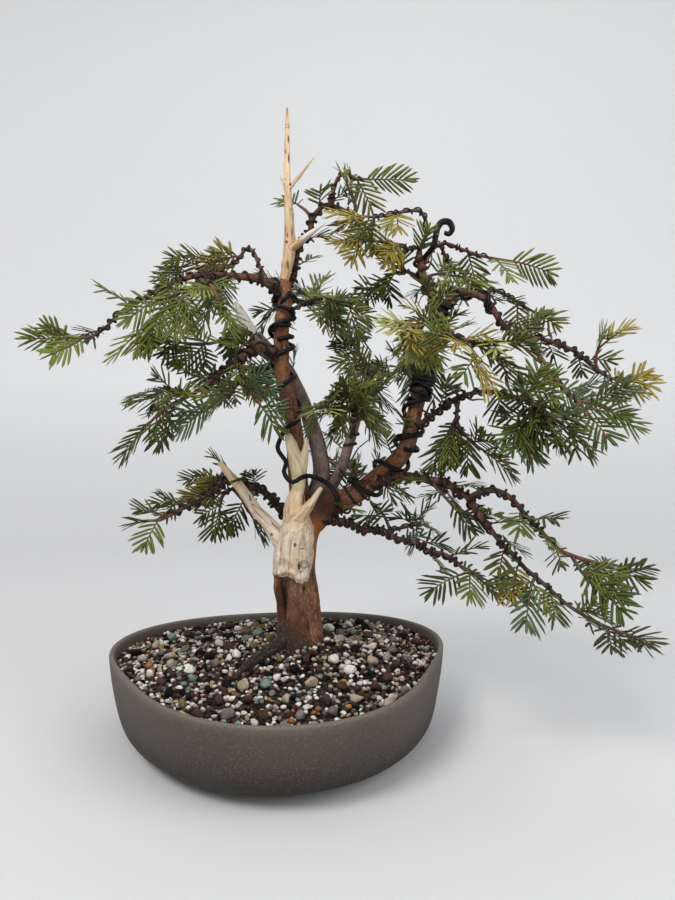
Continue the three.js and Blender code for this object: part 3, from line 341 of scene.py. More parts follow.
# Stripped wood on the front of the trunk, which runs up into dry points, and its snags
SHARI = [
    dict(gnarl=0.1, radii=[14, 17, 16.2, 11, 6.2, 7.2, 5.6, 1.8],
        path=[(12, -13, 137), (12, -15, 150), (12, -15, 166), (15, -16, 184), (14, -17, 204),
            (17, -17, 227), (12, -17, 250), (4, -17, 274)]),
    dict(radii=[6, 4.6, 2], path=[(16, -16, 222), (21, -16, 243), (24, -15, 262)]),
    dict(radii=[6, 4.6, 3, 2], path=[(17, -24, 192), (26, -30, 203), (34, -33, 215), (37, -34, 219)]),
    dict(radii=[6, 7, 7, 5], path=[(3, -12, 176), (0.5, -13, 162), (-1, -12.5, 150), (-2.5, -12, 140)]),
]
MID_PRONG = dict(radii=[5, 3.4, 1.2], path=[(15, -17, 214), (17, -18, 236), (17, -19, 251)])
LEFT_SNAG = dict(gnarl=0.08, radii=[9, 6.6, 5, 4.3, 2.2],
    path=[(4, -14, 166), (-9, -15, 185), (-22, -17, 200), (-37, -19, 221), (-53, -21, 241)])
# The long dry tip of the front leader, with its stubs
SPIRE = [
    dict(gnarl=0.1, radii=[4.2, 5.2, 4.4, 3.3, 2.8, 2.4, 0.9],
        path=[(3, -12, 404), (7, -12, 422), (8, -12, 440), (7, -12, 476), (6, -12, 507), (6, -12, 558.5)]),
    dict(radii=[2.2, 1.3, 0.6], path=[(6, -12, 487), (2, -13, 493), (-0.5, -14, 497.5)]),
    dict(radii=[2.4, 1.7, 0.6], path=[(6, -12, 484), (19, -14, 499), (30, -17, 512)]),
    dict(radii=[3.2, 3.2, 2.4, 0.6],
        path=[(9, -12, 431), (17, -19, 435.5), (28, -28, 441), (41, -36, 447)]),
]
# The dry end of the back leader
BACK_SNAG = dict(radii=[7, 6, 4.2, 1],
    path=[(-28, -6, 357), (-32, -9, 366), (-36, -13, 376), (-40, -16, 384)])
# The torn lower edge of the shari, as heights across its front, and how far up the wood follows it
LIP_PLACES = (-9, -3, 6, 12, 19, 25, 30, 34)
LIP_HEIGHTS = (136, 139, 145, 141, 136, 138, 144, 155)
LIP_LEVEL = 137
LIP_REACH = 30
LIP_FRONT = -8
LIP_TEAR = 1.6
LIP_TEAR_FINENESS = (0.45, 0.1, 0)
# Where the lip is rolled out and hollowed: how far, at which height over its edge and how wide
LIP_ROLLS = ((1.4, 3, 2.6), (-0.9, 9, 3.5))
CARVED_FRONT = -20
# Knots that swell the spire: height and how far each stands out
SPIRE_KNOTS = ((544, 0.9), (508, 0.7), (487, 1.1), (463, 0.8), (441, 1.0), (419, 1.1))
KNOT_HEIGHT = 2.8
KNOT_REACH = 7

# Thick training wire. Its lead is the stretch that runs free over the wood before its first turn.
WIRES = {
    "wire_leader": dict(over=["leader_front"], start=0.5, end=0.95, turns=3.6, radius=2.3, turn=3.9,
        lead=[(48, -24, 193), (50, -24, 211), (43, -22, 222), (28, -20, 229), (20, -27, 228),
            (13, -29, 224), (8, -27, 226), (4, -24, 233), (6, -22, 241), (2, -22, 247), (-2, -20, 254),
            (2, -18, 264), (6, -20, 271), (16, -20, 279)]),
    "wire_right": dict(over=["bough_right_low", "bough_right_high"], start=0.2, end=0.72, turns=5.2,
        radius=2.3, turn=1.6, lead=[]),
}
# Thin wires: the limb, where the winding starts and ends as shares of it, its pitch and the wire's radius
THIN_WIRES = [
    ("bough_right_high", 0.46, 0.98, 11, 1.6), ("bough_right_outer", 0.3, 0.98, 9, 1.2),
    ("bough_low_right", 0.08, 0.98, 8, 1.3), ("bough_low_right_upper", 0.05, 0.96, 7.5, 1.1),
    ("bough_low_right_lower", 0.08, 0.96, 7.5, 1.1), ("bough_under_right", 0.12, 0.95, 5.5, 1.2),
    ("bough_low_left", 0.06, 0.96, 9, 1.5), ("bough_high_left", 0.06, 0.97, 9, 1.1),
    ("bough_mid_left", 0.1, 0.96, 8, 1.4), ("bough_top", 0.1, 0.97, 8, 1.3),
    ("bough_right_mid", 0.1, 0.96, 8, 1.2), ("bough_centre", 0.45, 0.95, 11, 1.2),
    ("bough_back_right", 0.1, 0.96, 9, 1.2), ("bough_back_left", 0.1, 0.96, 9, 1.2),
    ("bough_right_low", 0.3, 0.5, 9, 1.1),
]
# Crossed knots of thick wire: the limb, between which shares, how many turns one way and back, the radius
KNOTTED = [
    ("bough_right_high", 0.14, 0.34, 3.1, 2), ("bough_right_high", 0.18, 0.32, -3.2, 2.1),
    ("bough_right_high", 0.22, 0.31, 2.3, 2.4), ("bough_right_high", 0.5, 0.72, 2.6, 1.8),
    ("bough_right_high", 0.54, 0.68, -2.6, 1.9), ("leader_front", 0.88, 0.94, -1.2, 1.9),
    ("bough_high_left", 0.0, 0.1, 1.6, 1.8), ("leader_front", 0.76, 0.82, 1.3, 2),
    ("bough_right_low", 0.86, 0.98, 1.5, 1.9), ("bough_right_outer", 0.02, 0.4, 3.4, 1.7),
]
# The free end of the thick wire curls up beside the tip of the right limb, and no shoot hides it
CURL = [(126, -12, 422), (131, -20, 426), (135, -26, 431), (136.5, -28, 438), (138, -28, 445),
    (142, -28, 450.5), (148, -28, 450.5), (151, -28, 445), (148.5, -27, 440.5), (144.5, -26, 442)]
CURL_RADII = (2, 2.3, 2.8, 2.9, 1.9)
CURL_STEPS = 60
CURL_ROOM = ((144, -26, 436), (148, -60, 450), 9)
# No shoot crosses the spire in front
SPIRE_ROOMS = [((4, -18, height), (0, -80, height), 11) for height in range(450, 540, 15)]
WIRE_STEPS_PER_TURN = 7
WIRE_CLEARANCE = 0.9
WOUND_STEP = 8
FINE_STEPS = 3
WIRE_SIDES = 12
COIL_TILT = 0.6
KNOT_TILT = 1.3
KNOT_SWELL = 0.6
THICK_WIRE_RADIUS = 2.05
STEPS_PER_TURN = 22
LONG_COIL = 40
# Wire on the stems of the masses
TWIG_WIRE_RADIUS = 0.75
TWIG_WIRE_PITCH = 9
TWIG_WIRE_LEAST = 22
TWIG_WIRE_START = 0.03
TWIG_WIRE_END = 0.95
TWIG_WIRE_BEYOND = 0.3
# Wires from their low to their high tones, and their gloss
THICK_WIRE_LOOK = ((0.004, 0.0035, 0.004), (0.013, 0.01, 0.01), 0.42)
THIN_WIRE_LOOK = ((0.014, 0.009, 0.008), (0.05, 0.032, 0.026), 0.5)


def stem_to(*bends, at=None, tip=30, side=SPRAY_LENGTH, bare=0.3, lift=0):
    """A stem that takes these bends: where on the first stem it starts, the lengths of the spray at its tip
    and of those at its sides, how much of it is bare, and how much its sprays are lifted"""
    return dict(bends=bends, at=at, tip=tip, side=side, bare=bare, lift=lift)


def mass_row(name, region, limb, share, seed, look, *stems):
    """A mass of foliage, which a limb bears at a share of its length; the first stem starts there"""
    return dict(name=name, region=region, limb=limb, share=share, seed=seed, look=look, stems=stems)


MASSES = [
    mass_row("left_tip", "left", "bough_high_left", 1, 3, "light",
        stem_to((-166, -59, 344), tip=34, side=32, bare=0.2, lift=0.15)),
    mass_row("left_low", "left", "bough_high_left", 0.4, 5, "light",
        stem_to((-75, -42, 386), (-84, -50, 376), (-100, -56, 362), (-112, -60, 350), tip=28)),
    mass_row("left_top", "left", "bough_high_left", 0.1, 7, "green",
        stem_to((-18, -18, 415), (-23, -18, 427), (-30, -16, 431), (-40, -10, 422), (-56, 2, 419),
            (-74, 10, 423), (-92, 16, 420), tip=24, side=36, bare=0.36),
        stem_to((-66, 22, 424), (-72, 40, 418), at=0.6, tip=24, side=34)),
    mass_row("left_front", "left", "bough_high_left", 0.36, 9, "green",
        stem_to((-56, -60, 392), (-46, -82, 376), (-40, -94, 364), tip=24, side=34),
        stem_to((-74, -70, 380), (-92, -80, 370), at=0.4, tip=24, side=34)),
    mass_row("mid_left_upper", "left", "leader_back", 0.93, 11, "dark",
        stem_to((-34, -20, 358), (-54, -28, 346), (-72, -32, 344), (-84, -36, 344), tip=24, side=34)),
    mass_row("mid_left", "mid_left", "bough_mid_left", 1, 13, "dark",
        stem_to((-74, -64, 294), (-89, -70, 285), (-100, -74, 273), tip=28, side=36, bare=0.1),
        stem_to((-92, -40, 304), (-110, -24, 304), at=0.2, tip=24, side=36, bare=0.4)),
    mass_row("mid_left_hanging", "mid_left", "bough_mid_left", 0.5, 15, "blue",
        stem_to((-30, -50, 309), (-20, -58, 298), (-12, -62, 288), tip=20, side=28),
        stem_to((-38, -64, 296), (-52, -70, 286), at=0.4, tip=24, side=30)),
    mass_row("low_left_tip", "low_left", "bough_low_left", 1, 17, "dark",
        stem_to((-108, -37, 191), tip=14, side=22, bare=0.1, lift=0.15)),
    mass_row("low_left", "low_left", "bough_low_left", 0.46, 19, "dark",
        stem_to((-52, -3, 212), (-57, 0, 197), tip=20, side=32),
        stem_to((-36, 6, 205), (-28, 10, 190), at=0.3, tip=20, side=30)),
    mass_row("low_left_back", "low_left", "bough_low_left", 0.36, 21, "dark",
        stem_to((-50, 12, 226), (-66, 26, 222), (-84, 36, 212), (-104, 44, 202), tip=18, side=28,
            bare=0.4)),
    mass_row("top", "top", "bough_top", 0.8, 23, "pale",
        stem_to((49, -19, 486), (51, -20, 492), (59, -22, 496), (67, -24, 490), (77, -25, 489), tip=30,
            side=26, bare=0.75, lift=0.1)),
    mass_row("top_front", "top", "bough_top", 1, 25, "green",
        stem_to((67, -26, 464), (63, -28, 474), tip=18, side=18)),
    mass_row("top_left", "top", "bough_top", 0.63, 27, "green",
        stem_to((22, -12, 467), (15, -6, 474), tip=20, side=22)),
    mass_row("arch", "top", "bough_right_high", 1, 29, "olive",
        stem_to((130, -18, 446), (124, -28, 459), (108, -38, 456), (94, -44, 451), (82, -50, 447),
            (68, -56, 446), tip=24, side=28, bare=0.55),
        stem_to((114, -18, 430), (104, -22, 433), (88, -30, 433), (72, -40, 430), at=0.05, tip=26,
            side=30)),
    mass_row("right_top", "right_top", "bough_right_high", 0.9, 31, "light",
        stem_to((138, -8, 434), (148, -12, 437), (164, -18, 429), (182, -22, 422), (206, -25, 417), tip=28,
            side=34, bare=0.5),
        stem_to((160, 14, 418), (168, 34, 412), at=0.3, tip=24, side=32)),
    mass_row("inner_top", "right_top", "bough_right_high", 0.84, 33, "dark",
        stem_to((114, 4, 416), (98, 18, 416), (88, 30, 410), tip=24, side=32),
        stem_to((140, -6, 411), (156, -8, 409), at=0.05, tip=26, side=18)),
    mass_row("outer_tip", "outer", "bough_right_outer", 1, 35, "olive",
        stem_to((280, -50, 312), (292, -54, 310), tip=18, side=26, bare=0.5),
        stem_to((267, -55, 334), (272, -58, 340), at=0.08, tip=20, side=24, bare=0.4)),
    mass_row("outer_twig", "outer", "bough_right_outer", 0.28, 39, "olive",
        stem_to((188, -24, 392), (202, -16, 389), (222, -8, 380), (232, -4, 376), tip=20, side=24,
            bare=0.5)),
    mass_row("outer_low", "outer", "bough_right_outer", 0.62, 41, "blue",
        stem_to((220, -50, 332), (230, -58, 312), (244, -64, 294), (262, -68, 288), (274, -72, 281), tip=22,
            side=34, bare=0.45),
        stem_to((250, -30, 302), (266, -10, 300), at=0.4, tip=26, side=34),
        stem_to((254, -76, 278), at=0.7, tip=20, side=30)),
    mass_row("front_right", "front_right", "bough_right_high", 0.52, 43, "pale",
        stem_to((144, -34, 352), (149, -58, 346), (155, -84, 336), (164, -98, 334), (176, -112, 332),
            tip=26, bare=0.62),
        stem_to((150, -110, 330), (136, -120, 333), at=0.72, tip=22, side=34)),
    mass_row("mid_right", "front_right", "bough_right_mid", 0.7, 45, "dark",
        stem_to((152, -46, 276), (162, -50, 260), (174, -56, 250), tip=22, side=36, bare=0.25),
        stem_to((143, -40, 262), at=0.3, tip=22, side=28)),
    mass_row("near_right", "front_right", "bough_right_mid", 1, 47, "deep",
        stem_to((182, -76, 297), (194, -92, 291), (202, -108, 284), (204, -122, 272), tip=24, side=36,
            bare=0.35),
        stem_to((186, -126, 270), at=0.7, tip=24, side=32),
        stem_to((220, -116, 268), at=0.75, tip=20, side=32)),
    mass_row("centre", "centre", "bough_centre", 1, 49, "dark",
        stem_to((72, 24, 344), (72, 34, 358), tip=22, side=30),
        stem_to((76, -8, 320), (78, -36, 310), at=0.1, tip=24, side=36)),
    mass_row("centre_front", "centre", "bough_centre", 0.5, 51, "green",
        stem_to((66, -24, 284), (62, -60, 290), (68, -90, 290), tip=26, side=38, bare=0.3),
        stem_to((44, -70, 286), at=0.5, tip=24, side=36)),
    mass_row("centre_upper", "centre", "leader_front", 0.86, 53, "mixed",
        stem_to((26, -14, 386), (46, -24, 385), (60, -30, 377), tip=22, side=24, bare=0.3, lift=0.15),
        stem_to((28, 14, 390), (32, 42, 394), (46, 62, 390), at=0.3, tip=28, bare=0.35),
        stem_to((14, 16, 392), (0, 44, 400), (-14, 64, 394), at=0.3, tip=28, bare=0.45)),
    mass_row("fan", "centre", "bough_right_high", 0.46, 55, "pale",
        stem_to((130, -50, 360), (118, -84, 350), (104, -108, 344), tip=26, side=38, bare=0.3)),
    mass_row("low_right_upper", "low_right", "bough_low_right_upper", 1, 57, "deep",
        stem_to((242, -84, 166), (258, -88, 162), (268, -90, 158), tip=18, side=32, bare=0.1, lift=0.1),
        stem_to((240, -96, 156), (246, -106, 150), at=0.2, tip=22, side=26)),
    mass_row("low_right_lower", "low_right", "bough_low_right_lower", 1, 59, "deep",
        stem_to((213, -88, 146), (227, -94, 133), (244, -100, 122), (260, -104, 115), (270, -106, 112),
            tip=16, side=28, bare=0.2),
        stem_to((200, -98, 148), (197, -104, 142), at=0.12, tip=20, side=24)),
    mass_row("low_right_inner", "low_right", "bough_low_right", 0.6, 63, "deep",
        stem_to((140, -46, 214), (148, -52, 204), tip=22, side=26, bare=0.3),
        stem_to((146, -20, 216), (152, -2, 212), at=0.3, tip=24, side=30)),
    mass_row("under_right", "low_right", "bough_under_right", 1, 65, "dark",
        stem_to((170, -70, 147), tip=28, side=36, bare=0.2),
        stem_to((158, -74, 154), (148, -80, 152), at=0.1, tip=26, side=28)),
    mass_row("under_right_inner", "low_right", "bough_under_right", 0.5, 67, "dark",
        stem_to((114, -22, 185), (128, 2, 184), tip=26, side=32),
        stem_to((92, -22, 194), (84, -18, 203), at=0.1, tip=18, side=20)),
    mass_row("back_low", "back", "bough_right_low", 0.34, 73, "dark",
        stem_to((66, 16, 216), (82, 44, 226), (98, 68, 230), tip=28, bare=0.4),
        stem_to((56, 56, 232), (48, 76, 230), at=0.5, tip=26)),
    mass_row("back_right", "back", "bough_back_right", 1, 69, "mixed",
        stem_to((108, 78, 332), (100, 94, 324), tip=28),
        stem_to((130, 84, 338), at=0.3, tip=26),
        stem_to((84, 80, 340), at=0.5, tip=26)),
    mass_row("back_left", "back", "bough_back_left", 1, 71, "mixed",
        stem_to((-50, 84, 324), (-66, 92, 314), tip=28),
        stem_to((-30, 94, 330), at=0.3, tip=26),
        stem_to((-68, 76, 326), at=0.5, tip=26)),
]
# Greens of the needles, and how often each shows in the looks that a mass can have
GREENS = [
    ("deep", (0.03, 0.04, 0.007)), ("dark", (0.06, 0.078, 0.013)), ("mid", (0.1, 0.126, 0.02)),
    ("leaf", (0.155, 0.182, 0.03)), ("olive", (0.28, 0.215, 0.035)), ("light", (0.34, 0.34, 0.115)),
    ("blue", (0.065, 0.1, 0.045)),
]
LOOKS = {
    "deep": (0.34, 0.4, 0.18, 0.02, 0.0, 0.0, 0.06),
    "dark": (0.16, 0.34, 0.32, 0.1, 0.03, 0.0, 0.05),
    "mixed": (0.08, 0.24, 0.32, 0.18, 0.08, 0.04, 0.06),
    "green": (0.04, 0.18, 0.36, 0.28, 0.06, 0.05, 0.03),
    "light": (0.0, 0.04, 0.18, 0.36, 0.12, 0.3, 0.0),
    "olive": (0.0, 0.04, 0.1, 0.14, 0.54, 0.18, 0.0),
    "pale": (0.0, 0.0, 0.08, 0.22, 0.3, 0.4, 0.0),
    "blue": (0.1, 0.24, 0.24, 0.1, 0.04, 0.0, 0.28),
}
UNDERSIDE = (0.17, 0.19, 0.075)
UNDERSIDE_SHARE = 0.35
# How much finer growth a mass bears, where the crown is fuller or thinner than elsewhere
FULLNESS = {"near_right": 1.9, "fan": 3, "centre_front": 2.4, "centre": 1.7, "centre_upper": 1.3,
    "front_right": 1.2, "mid_right": 0.4, "arch": 0.5, "top": 0, "top_front": 0.3, "top_left": 0.3,
    "outer_tip": 0.4, "outer_twig": 0.2, "outer_low": 0, "left_top": 0.3, "left_low": 0.8, "left_tip": 0.5,
    "low_right_upper": 0.5, "low_right_lower": 0.3, "low_right_inner": 0.3, "under_right": 0.2,
    "right_top": 0, "mid_left_hanging": 0.5, "low_left": 0.6, "low_left_back": 0.6}
# Leafless twigs on each bough
BARE_TWIGS = {"bough_right_high": 18, "bough_right_outer": 8, "bough_right_mid": 9, "bough_centre": 6,
    "leader_front": 5, "bough_high_left": 4, "bough_mid_left": 5, "bough_low_left": 3, "bough_low_right": 3,
    "bough_back_right": 5, "bough_back_left": 5}
BARE_TWIG_PLACES = (0.15, 0.95)
BARE_TWIG_BENDS = (3, 6)
BARE_TWIG_STEP = (5, 8)
BARE_TWIG_LEAN = 0.5
BARE_TWIG_CROOK = 0.42
BARE_TWIG_RISE = 0.05
BARE_TWIG_RADIUS = (0.7, 1.2)
BARE_TWIG_TAPER = (1, 0.8, 0.45)
BARE_TWIG_RINGS = 4
BARE_TWIG_SIDES = 6
# Paints of the twigs: the colour, and how dark its low tone is
BROWN, RED_BROWN, YOUNG, BUD = range(4)
TWIG_COLORS = [("twig_brown", (0.085, 0.05, 0.035), 0.4), ("twig_red", (0.15, 0.055, 0.035), 0.5),
    ("twig_young", (0.13, 0.1, 0.035), 0.6), ("bud", (0.36, 0.15, 0.045), 0.7)]

# Colours of the bark from its cracks to its flakes: the trunk and the limbs that carry the crown, the
# smooth older limbs behind, and the boughs
BARKS = {
    "bark_skin": ((0.075, 0.028, 0.016), (0.135, 0.056, 0.028), (0.22, 0.1, 0.052), (0.36, 0.215, 0.135)),
    "grey_bark_skin": ((0.1, 0.066, 0.05), (0.16, 0.115, 0.092), (0.215, 0.165, 0.137), (0.3, 0.25, 0.21)),
    "bough_skin": ((0.028, 0.014, 0.011), (0.06, 0.028, 0.019), (0.115, 0.056, 0.035), (0.21, 0.125, 0.08)),
}
CRACK_COLOR = (0.025, 0.012, 0.008)
WEATHERED_BARK_COLOR = (0.15, 0.11, 0.09)
FOOT_COLOR = (0.018, 0.013, 0.011)
MOSS_COLOR = (0.014, 0.017, 0.007)
DRY_MOSS_COLOR = (0.13, 0.1, 0.09)
VEIN_COLOR = (0.3, 0.11, 0.035)
# Painted shade in the crotch above the shari
CROTCH_SHADE_COLOR = (0.045, 0.018, 0.013)
DARK_BARK_COLOR = (0.07, 0.03, 0.018)
# Painted shade on the recessed flange at the left of the trunk's foot
FLANGE_SHADE_COLOR = (0.035, 0.012, 0.007)

# Marks round a middle: where it lies, how the mark is stretched, and how strong it is at each share of
# MARK_REACH out. First the dark mossy patches at the left of the trunk's foot, and painted shade in the
# groove on the shaded side of its flange; then the fresh orange bark beside the shari, painted shade in the
# crotch above it and painted shade on the flange.
MARK_REACH = 10
FOOT_MOSS_AND_GROOVE_SHADE = [
    ((4, -20, 86), (0.36, 0.36, 0.45), [(0.4, 0.95), (0.9, 0.0)]),
    ((-16, -46, 76), (0.25, 0.25, 0.6), [(0.5, 1.0), (1.0, 0.0)]),
    # Painted shade in the groove between the trunk and its flange, in the dark colour of the mossy foot
    ((5, -20, 117), (4, 0.4, 0.42), [(0.4, 0.9), (1.0, 0.0)]),
]
VEINS_AND_SHADES = [
    (VEIN_COLOR, (33, -14, 165), (1.5, 0.5, 0.35), [(0.5, 0.85), (1.0, 0.0)]),
    (VEIN_COLOR, (34, -14, 186), (1.1, 0.5, 0.6), [(0.4, 0.6), (1.0, 0.0)]),
    (CROTCH_SHADE_COLOR, (42, -20, 205), (0.42, 0.3, 0.6), [(0.3, 0.85), (1.0, 0.0)]),
    (FLANGE_SHADE_COLOR, (0, -14, 118), (1.5, 0.3, 0.34), [(0.55, 0.8), (0.95, 0.0)]),
    (DARK_BARK_COLOR, (17, -30, 102), (0.7, 0.3, 0.3), [(0.4, 0.6), (1.0, 0.0)]),
]
# The knot on the shari, the slot beside it and small holes, in each piece of dry wood
KNOT = (22, -31, 152)
KNOT_STRETCH = (1, 0.3, 1.1)
RIPPLE_HEIGHT = 0.8
RIPPLE_TURN = 2.2
RIPPLE_REACH = 4.6
SPECK = [(0.08, 0.9), (0.14, 0.0)]
MARKS = {
    "dry_trunk": [
        (KNOT, KNOT_STRETCH, [(0.05, 0.5), (0.12, 0.1), (0.22, 0.05), (0.28, 0.75), (0.34, 0.1), (0.4, 0.8),
            (0.46, 0.0)]),
        ((17.4, -31, 150.5), (2.1, 0.3, 0.6), [(0.16, 1.0), (0.26, 0.4), (0.36, 0.0)]),
        ((14.2, -31, 169.5), (0.8, 0.3, 0.6), SPECK), ((22.8, -31, 175.5), (0.9, 0.3, 0.7), SPECK),
        ((24.8, -31, 171.2), (0.7, 0.3, 0.8), SPECK), ((20.6, -31, 166), (0.5, 0.3, 1.2), SPECK),
        ((28.8, -27, 184), (1, 0.3, 0.4), SPECK),
    ],
    "dry_left": [
        ((-17, -22, 186), (1, 0.2, 0.8), SPECK), ((-13.5, -22, 178), (0.8, 0.2, 0.8), SPECK),
        ((-7, -24, 177.5), (0.9, 0.2, 0.7), SPECK),
    ],
    "dry_spire": [
        ((6, -15, 541), (1, 0.3, 1.1), [(0.1, 0.1), (0.16, 0.6), (0.24, 0.0)]),
        ((7.2, -15, 529), (1.6, 0.3, 0.3), SPECK), ((7.4, -15, 512), (1.6, 0.3, 0.25), SPECK),
        ((4.4, -16, 519), (1.8, 0.3, 0.5), SPECK), ((9, -16, 489), (1, 0.3, 0.6), SPECK),
        ((10.6, -16, 446), (2, 0.3, 0.3), SPECK), ((5.8, -17, 437), (0.9, 0.3, 0.7), SPECK),
        ((6.6, -17, 443), (2, 0.3, 0.5), SPECK), ((12.4, -16, 414), (0.8, 0.3, 0.35), SPECK),
        ((7, -17, 416), (1.4, 0.3, 0.3), SPECK),
    ],
}
# The palest tone of each piece of dry wood, and tones that all share
DRY_HIGH = {"dry_trunk": (0.63, 0.52, 0.4), "dry_left": (0.7, 0.59, 0.46), "dry_spire": (0.7, 0.52, 0.33),
    "dry_back": (0.58, 0.56, 0.53)}
DRY_HALF = 0.76
DRY_LOW = [(0.3, (0.17, 0.105, 0.065)), (0.37, (0.36, 0.25, 0.165))]
DRY_BROWN = (0.5, 0.36, 0.22)
SPIRE_BROWN = (0.62, 0.37, 0.18)
DRY_PALE = (0.74, 0.67, 0.58)
CHECK_COLOR = (0.16, 0.1, 0.06)
HOLE_COLOR = (0.05, 0.03, 0.02)
MARK_COLOR = (0.035, 0.02, 0.013)
# Golden wood on the shari's neck and up the left snag, painted light that brightens its prongs where the
# foliage shades them, the greyed flat snag of the spire and brown stretches below it
TONES_AND_PAINTED_LIGHT = {
    "dry_trunk": [((0.72, 0.47, 0.2), (17, -24, 208), (0.5, 0.2, 0.3), [(0.3, 0.45), (1.0, 0.0)]),
        # Painted light: brightens the prongs where the foliage above shades them
        ((0.95, 0.76, 0.5), (15, -20, 240), (0.35, 0.2, 0.26), [(0.5, 0.75), (1.0, 0.0)])],
    "dry_left": [((0.72, 0.5, 0.24), (-48, -20, 234), (0.35, 0.2, 0.35), [(0.3, 0.5), (1.0, 0.0)])],
    "dry_spire": [((0.66, 0.63, 0.58), (31, -30, 442), (0.6, 0.5, 0.6), [(0.6, 0.8), (1.0, 0.0)]),
        ((0.42, 0.2, 0.08), (9, -16, 444), (1, 0.3, 0.6), [(0.2, 0.5), (1.0, 0.0)]),
        ((0.42, 0.2, 0.08), (6, -16, 417), (1.4, 0.3, 0.5), [(0.2, 0.45), (1.0, 0.0)])],
}

# Sizes in millimetres of the noises that carve the bark: plates, cracks, scales and nubs
PLATE_SIZE = (8, 8, 15)
CRACK_SIZE = (7, 7, 19)
SCALE_SIZE = (2.4, 2.4, 3.6)
NUB_SIZE = (3.4, 3.4, 4.5)
CRACK_WIDTH = 0.06
NUB_HEIGHT = 2.2
NUB_START = 0.35
NUBBED_RADIUS = 7
SMOOTH_BARK = 0.55
PLATE_DEPTH = 1.1
SCALE_DEPTH = 0.5
CRACK_DEPTH = 0.8
# How deep relief is on wood without thickness, how much deeper for each millimetre of radius, and at most
BARK_DEPTHS = (0.12, 0.05, 1.1)
DRY_DEPTHS = (0.16, 0.1, 1.2)
# The same for stripped wood: grooves, hollows and deep checks, which wind round it
GROOVE_SIZE = (2.3, 2.3, 30)
HOLLOW_SIZE = (7, 7, 24)
CHECK_SIZE = (4.2, 4.2, 46)
CHECK_WIDTH = 0.07
FINE_GROOVE_DEPTH = 0.7
HOLLOW_DEPTH = 0.75
CHECK_DEPTH = 1.1
GRAIN_TURN = 0.9
GRAIN_TURN_LENGTH = 60
# Steps along a limb at which the grain is noted, and what sets the grain of limbs apart
GRAIN_STEP = 3
GRAIN_SHIFT = 300

# Floor, light and camera
FLOOR_PROFILE = [(0.02, 0), (0.8, 0)]
FLOOR_RADIUS = 1.3
WALL_CURVE = 1.9
WALL_PROFILE = [(3.2, 2.6), (3.2, 3.8)]
FLOOR_STEPS = 128
FLOOR_DROP = 0.3
FLOOR_COLOR = (0.585, 0.585, 0.59)
WALL_COLOR = (0.735, 0.735, 0.74)
WALL_HEIGHT = 0.6
PLANT = (0.05, 0.0, 0.27)
WALL = (0.1, 2.9, 0.6)
# Where each light stands and what it shines on, its size, power and colour
LIGHTS = [
    ("key", (-1.0, -1.6, 2.1), PLANT, 1.1, 50, (1, 0.985, 0.96)),
    ("fill", (1.7, -1.2, 1.3), PLANT, 1.8, 28, (0.97, 0.985, 1)),
    ("back", (0.2, 1.3, 2.6), WALL, 2.0, 10, (0.97, 0.985, 1)),
]
SKY_COLOR = (0.96, 0.98, 1, 1)
SKY_STRENGTH = 0.68
CAMERA_PLACE = (51, -617, 245)
LENS = 27.04
SENSOR = 36
HORIZON_ROW = 458
PICTURE_HEIGHT = 900


# Curves, directions and noise

def seeded(seed):
    """Numbers that look random and come out the same each time, drawn as for the solids"""
    state = (seed * SEED_FACTOR + SEED_SHIFT) % DRAW_LIMIT

    def draw():
        nonlocal state
        state = state * DRAW_FACTOR % DRAW_LIMIT
        return state / DRAW_LIMIT

    return draw


def mix(start, end, share):
    return start + (end - start) * share


def along(values, share):
    """A value read from a short list spread evenly along a limb"""
    return np.interp(share, np.linspace(0, 1, len(values)), values)


def unit(vectors):
    return vectors / np.linalg.norm(vectors, axis=-1, keepdims=True)


def turned(vector, axis, angle):
    """A vector turned about an axis of length one"""
    straight = axis * np.dot(axis, vector) * (1 - math.cos(angle))
    return vector * math.cos(angle) + np.cross(axis, vector) * math.sin(angle) + straight


def rolled(forward, angle):
    """The direction straight above a twig, turned about it"""
    return turned(unit(UP - forward * forward[2]), forward, angle)


def noise(points):
    """Smooth numbers from -1 to 1 that depend only on the place"""
    cell = np.floor(points).astype(np.int64)
    part = points - cell
    part = part * part * (3 - 2 * part)
    total = np.zeros(points.shape[:-1])
    for corner in np.ndindex(2, 2, 2):
        key = (cell + corner) * CELL_FACTORS
        mixed = key[..., 0] ^ key[..., 1] ^ key[..., 2]
        mixed = (mixed ^ (mixed >> 13)) * CELL_MIX & CELL_MASK
        weight = np.prod(np.where(corner, part, 1 - part), axis=-1)
        total += weight * ((mixed >> 7) % CELL_LEVELS / (CELL_LEVELS / 2) - 1)
    return total


def crease(values, width):
    """One where the values pass through zero, falling off to nothing beside it"""
    return np.exp(-(values / width) ** 2)


class Curve:
    """A smooth curve through points, whose places are given as shares of its length"""

    def __init__(self, points):
        points = np.array(points, float)
        self.spans = len(points) - 1
        self.points = np.vstack([2 * points[0] - points[1], points, 2 * points[-1] - points[-2]])
        self.turns = np.linspace(0, 1, CURVE_SAMPLES)
        chords = np.linalg.norm(np.diff(self.raw(self.turns), axis=0), axis=1)
        self.reached = np.concatenate([[0], np.cumsum(chords)])
        self.length = self.reached[-1]

    def raw(self, turn):
        place = np.clip(turn, 0, 1) * self.spans
        first = np.minimum(place.astype(int), self.spans - 1)
        w = (place - first)[:, None]
        a, b, c, d = (self.points[first + k] for k in range(4))
        leave, arrive = (c - a) / 2, (d - b) / 2
        bend = -3 * b + 3 * c - 2 * leave - arrive
        return b + leave * w + bend * w ** 2 + (2 * b - 2 * c + leave + arrive) * w ** 3

    def turn_at(self, share):
        return np.interp(np.atleast_1d(share) * self.length, self.reached, self.turns)

    def at(self, share):
        return self.raw(self.turn_at(share))

    def heading(self, share):
        turn = self.turn_at(share)
        ahead, behind = np.minimum(turn + HEADING_STEP, 1), np.maximum(turn - HEADING_STEP, 0)
        return unit(self.raw(ahead) - self.raw(behind))


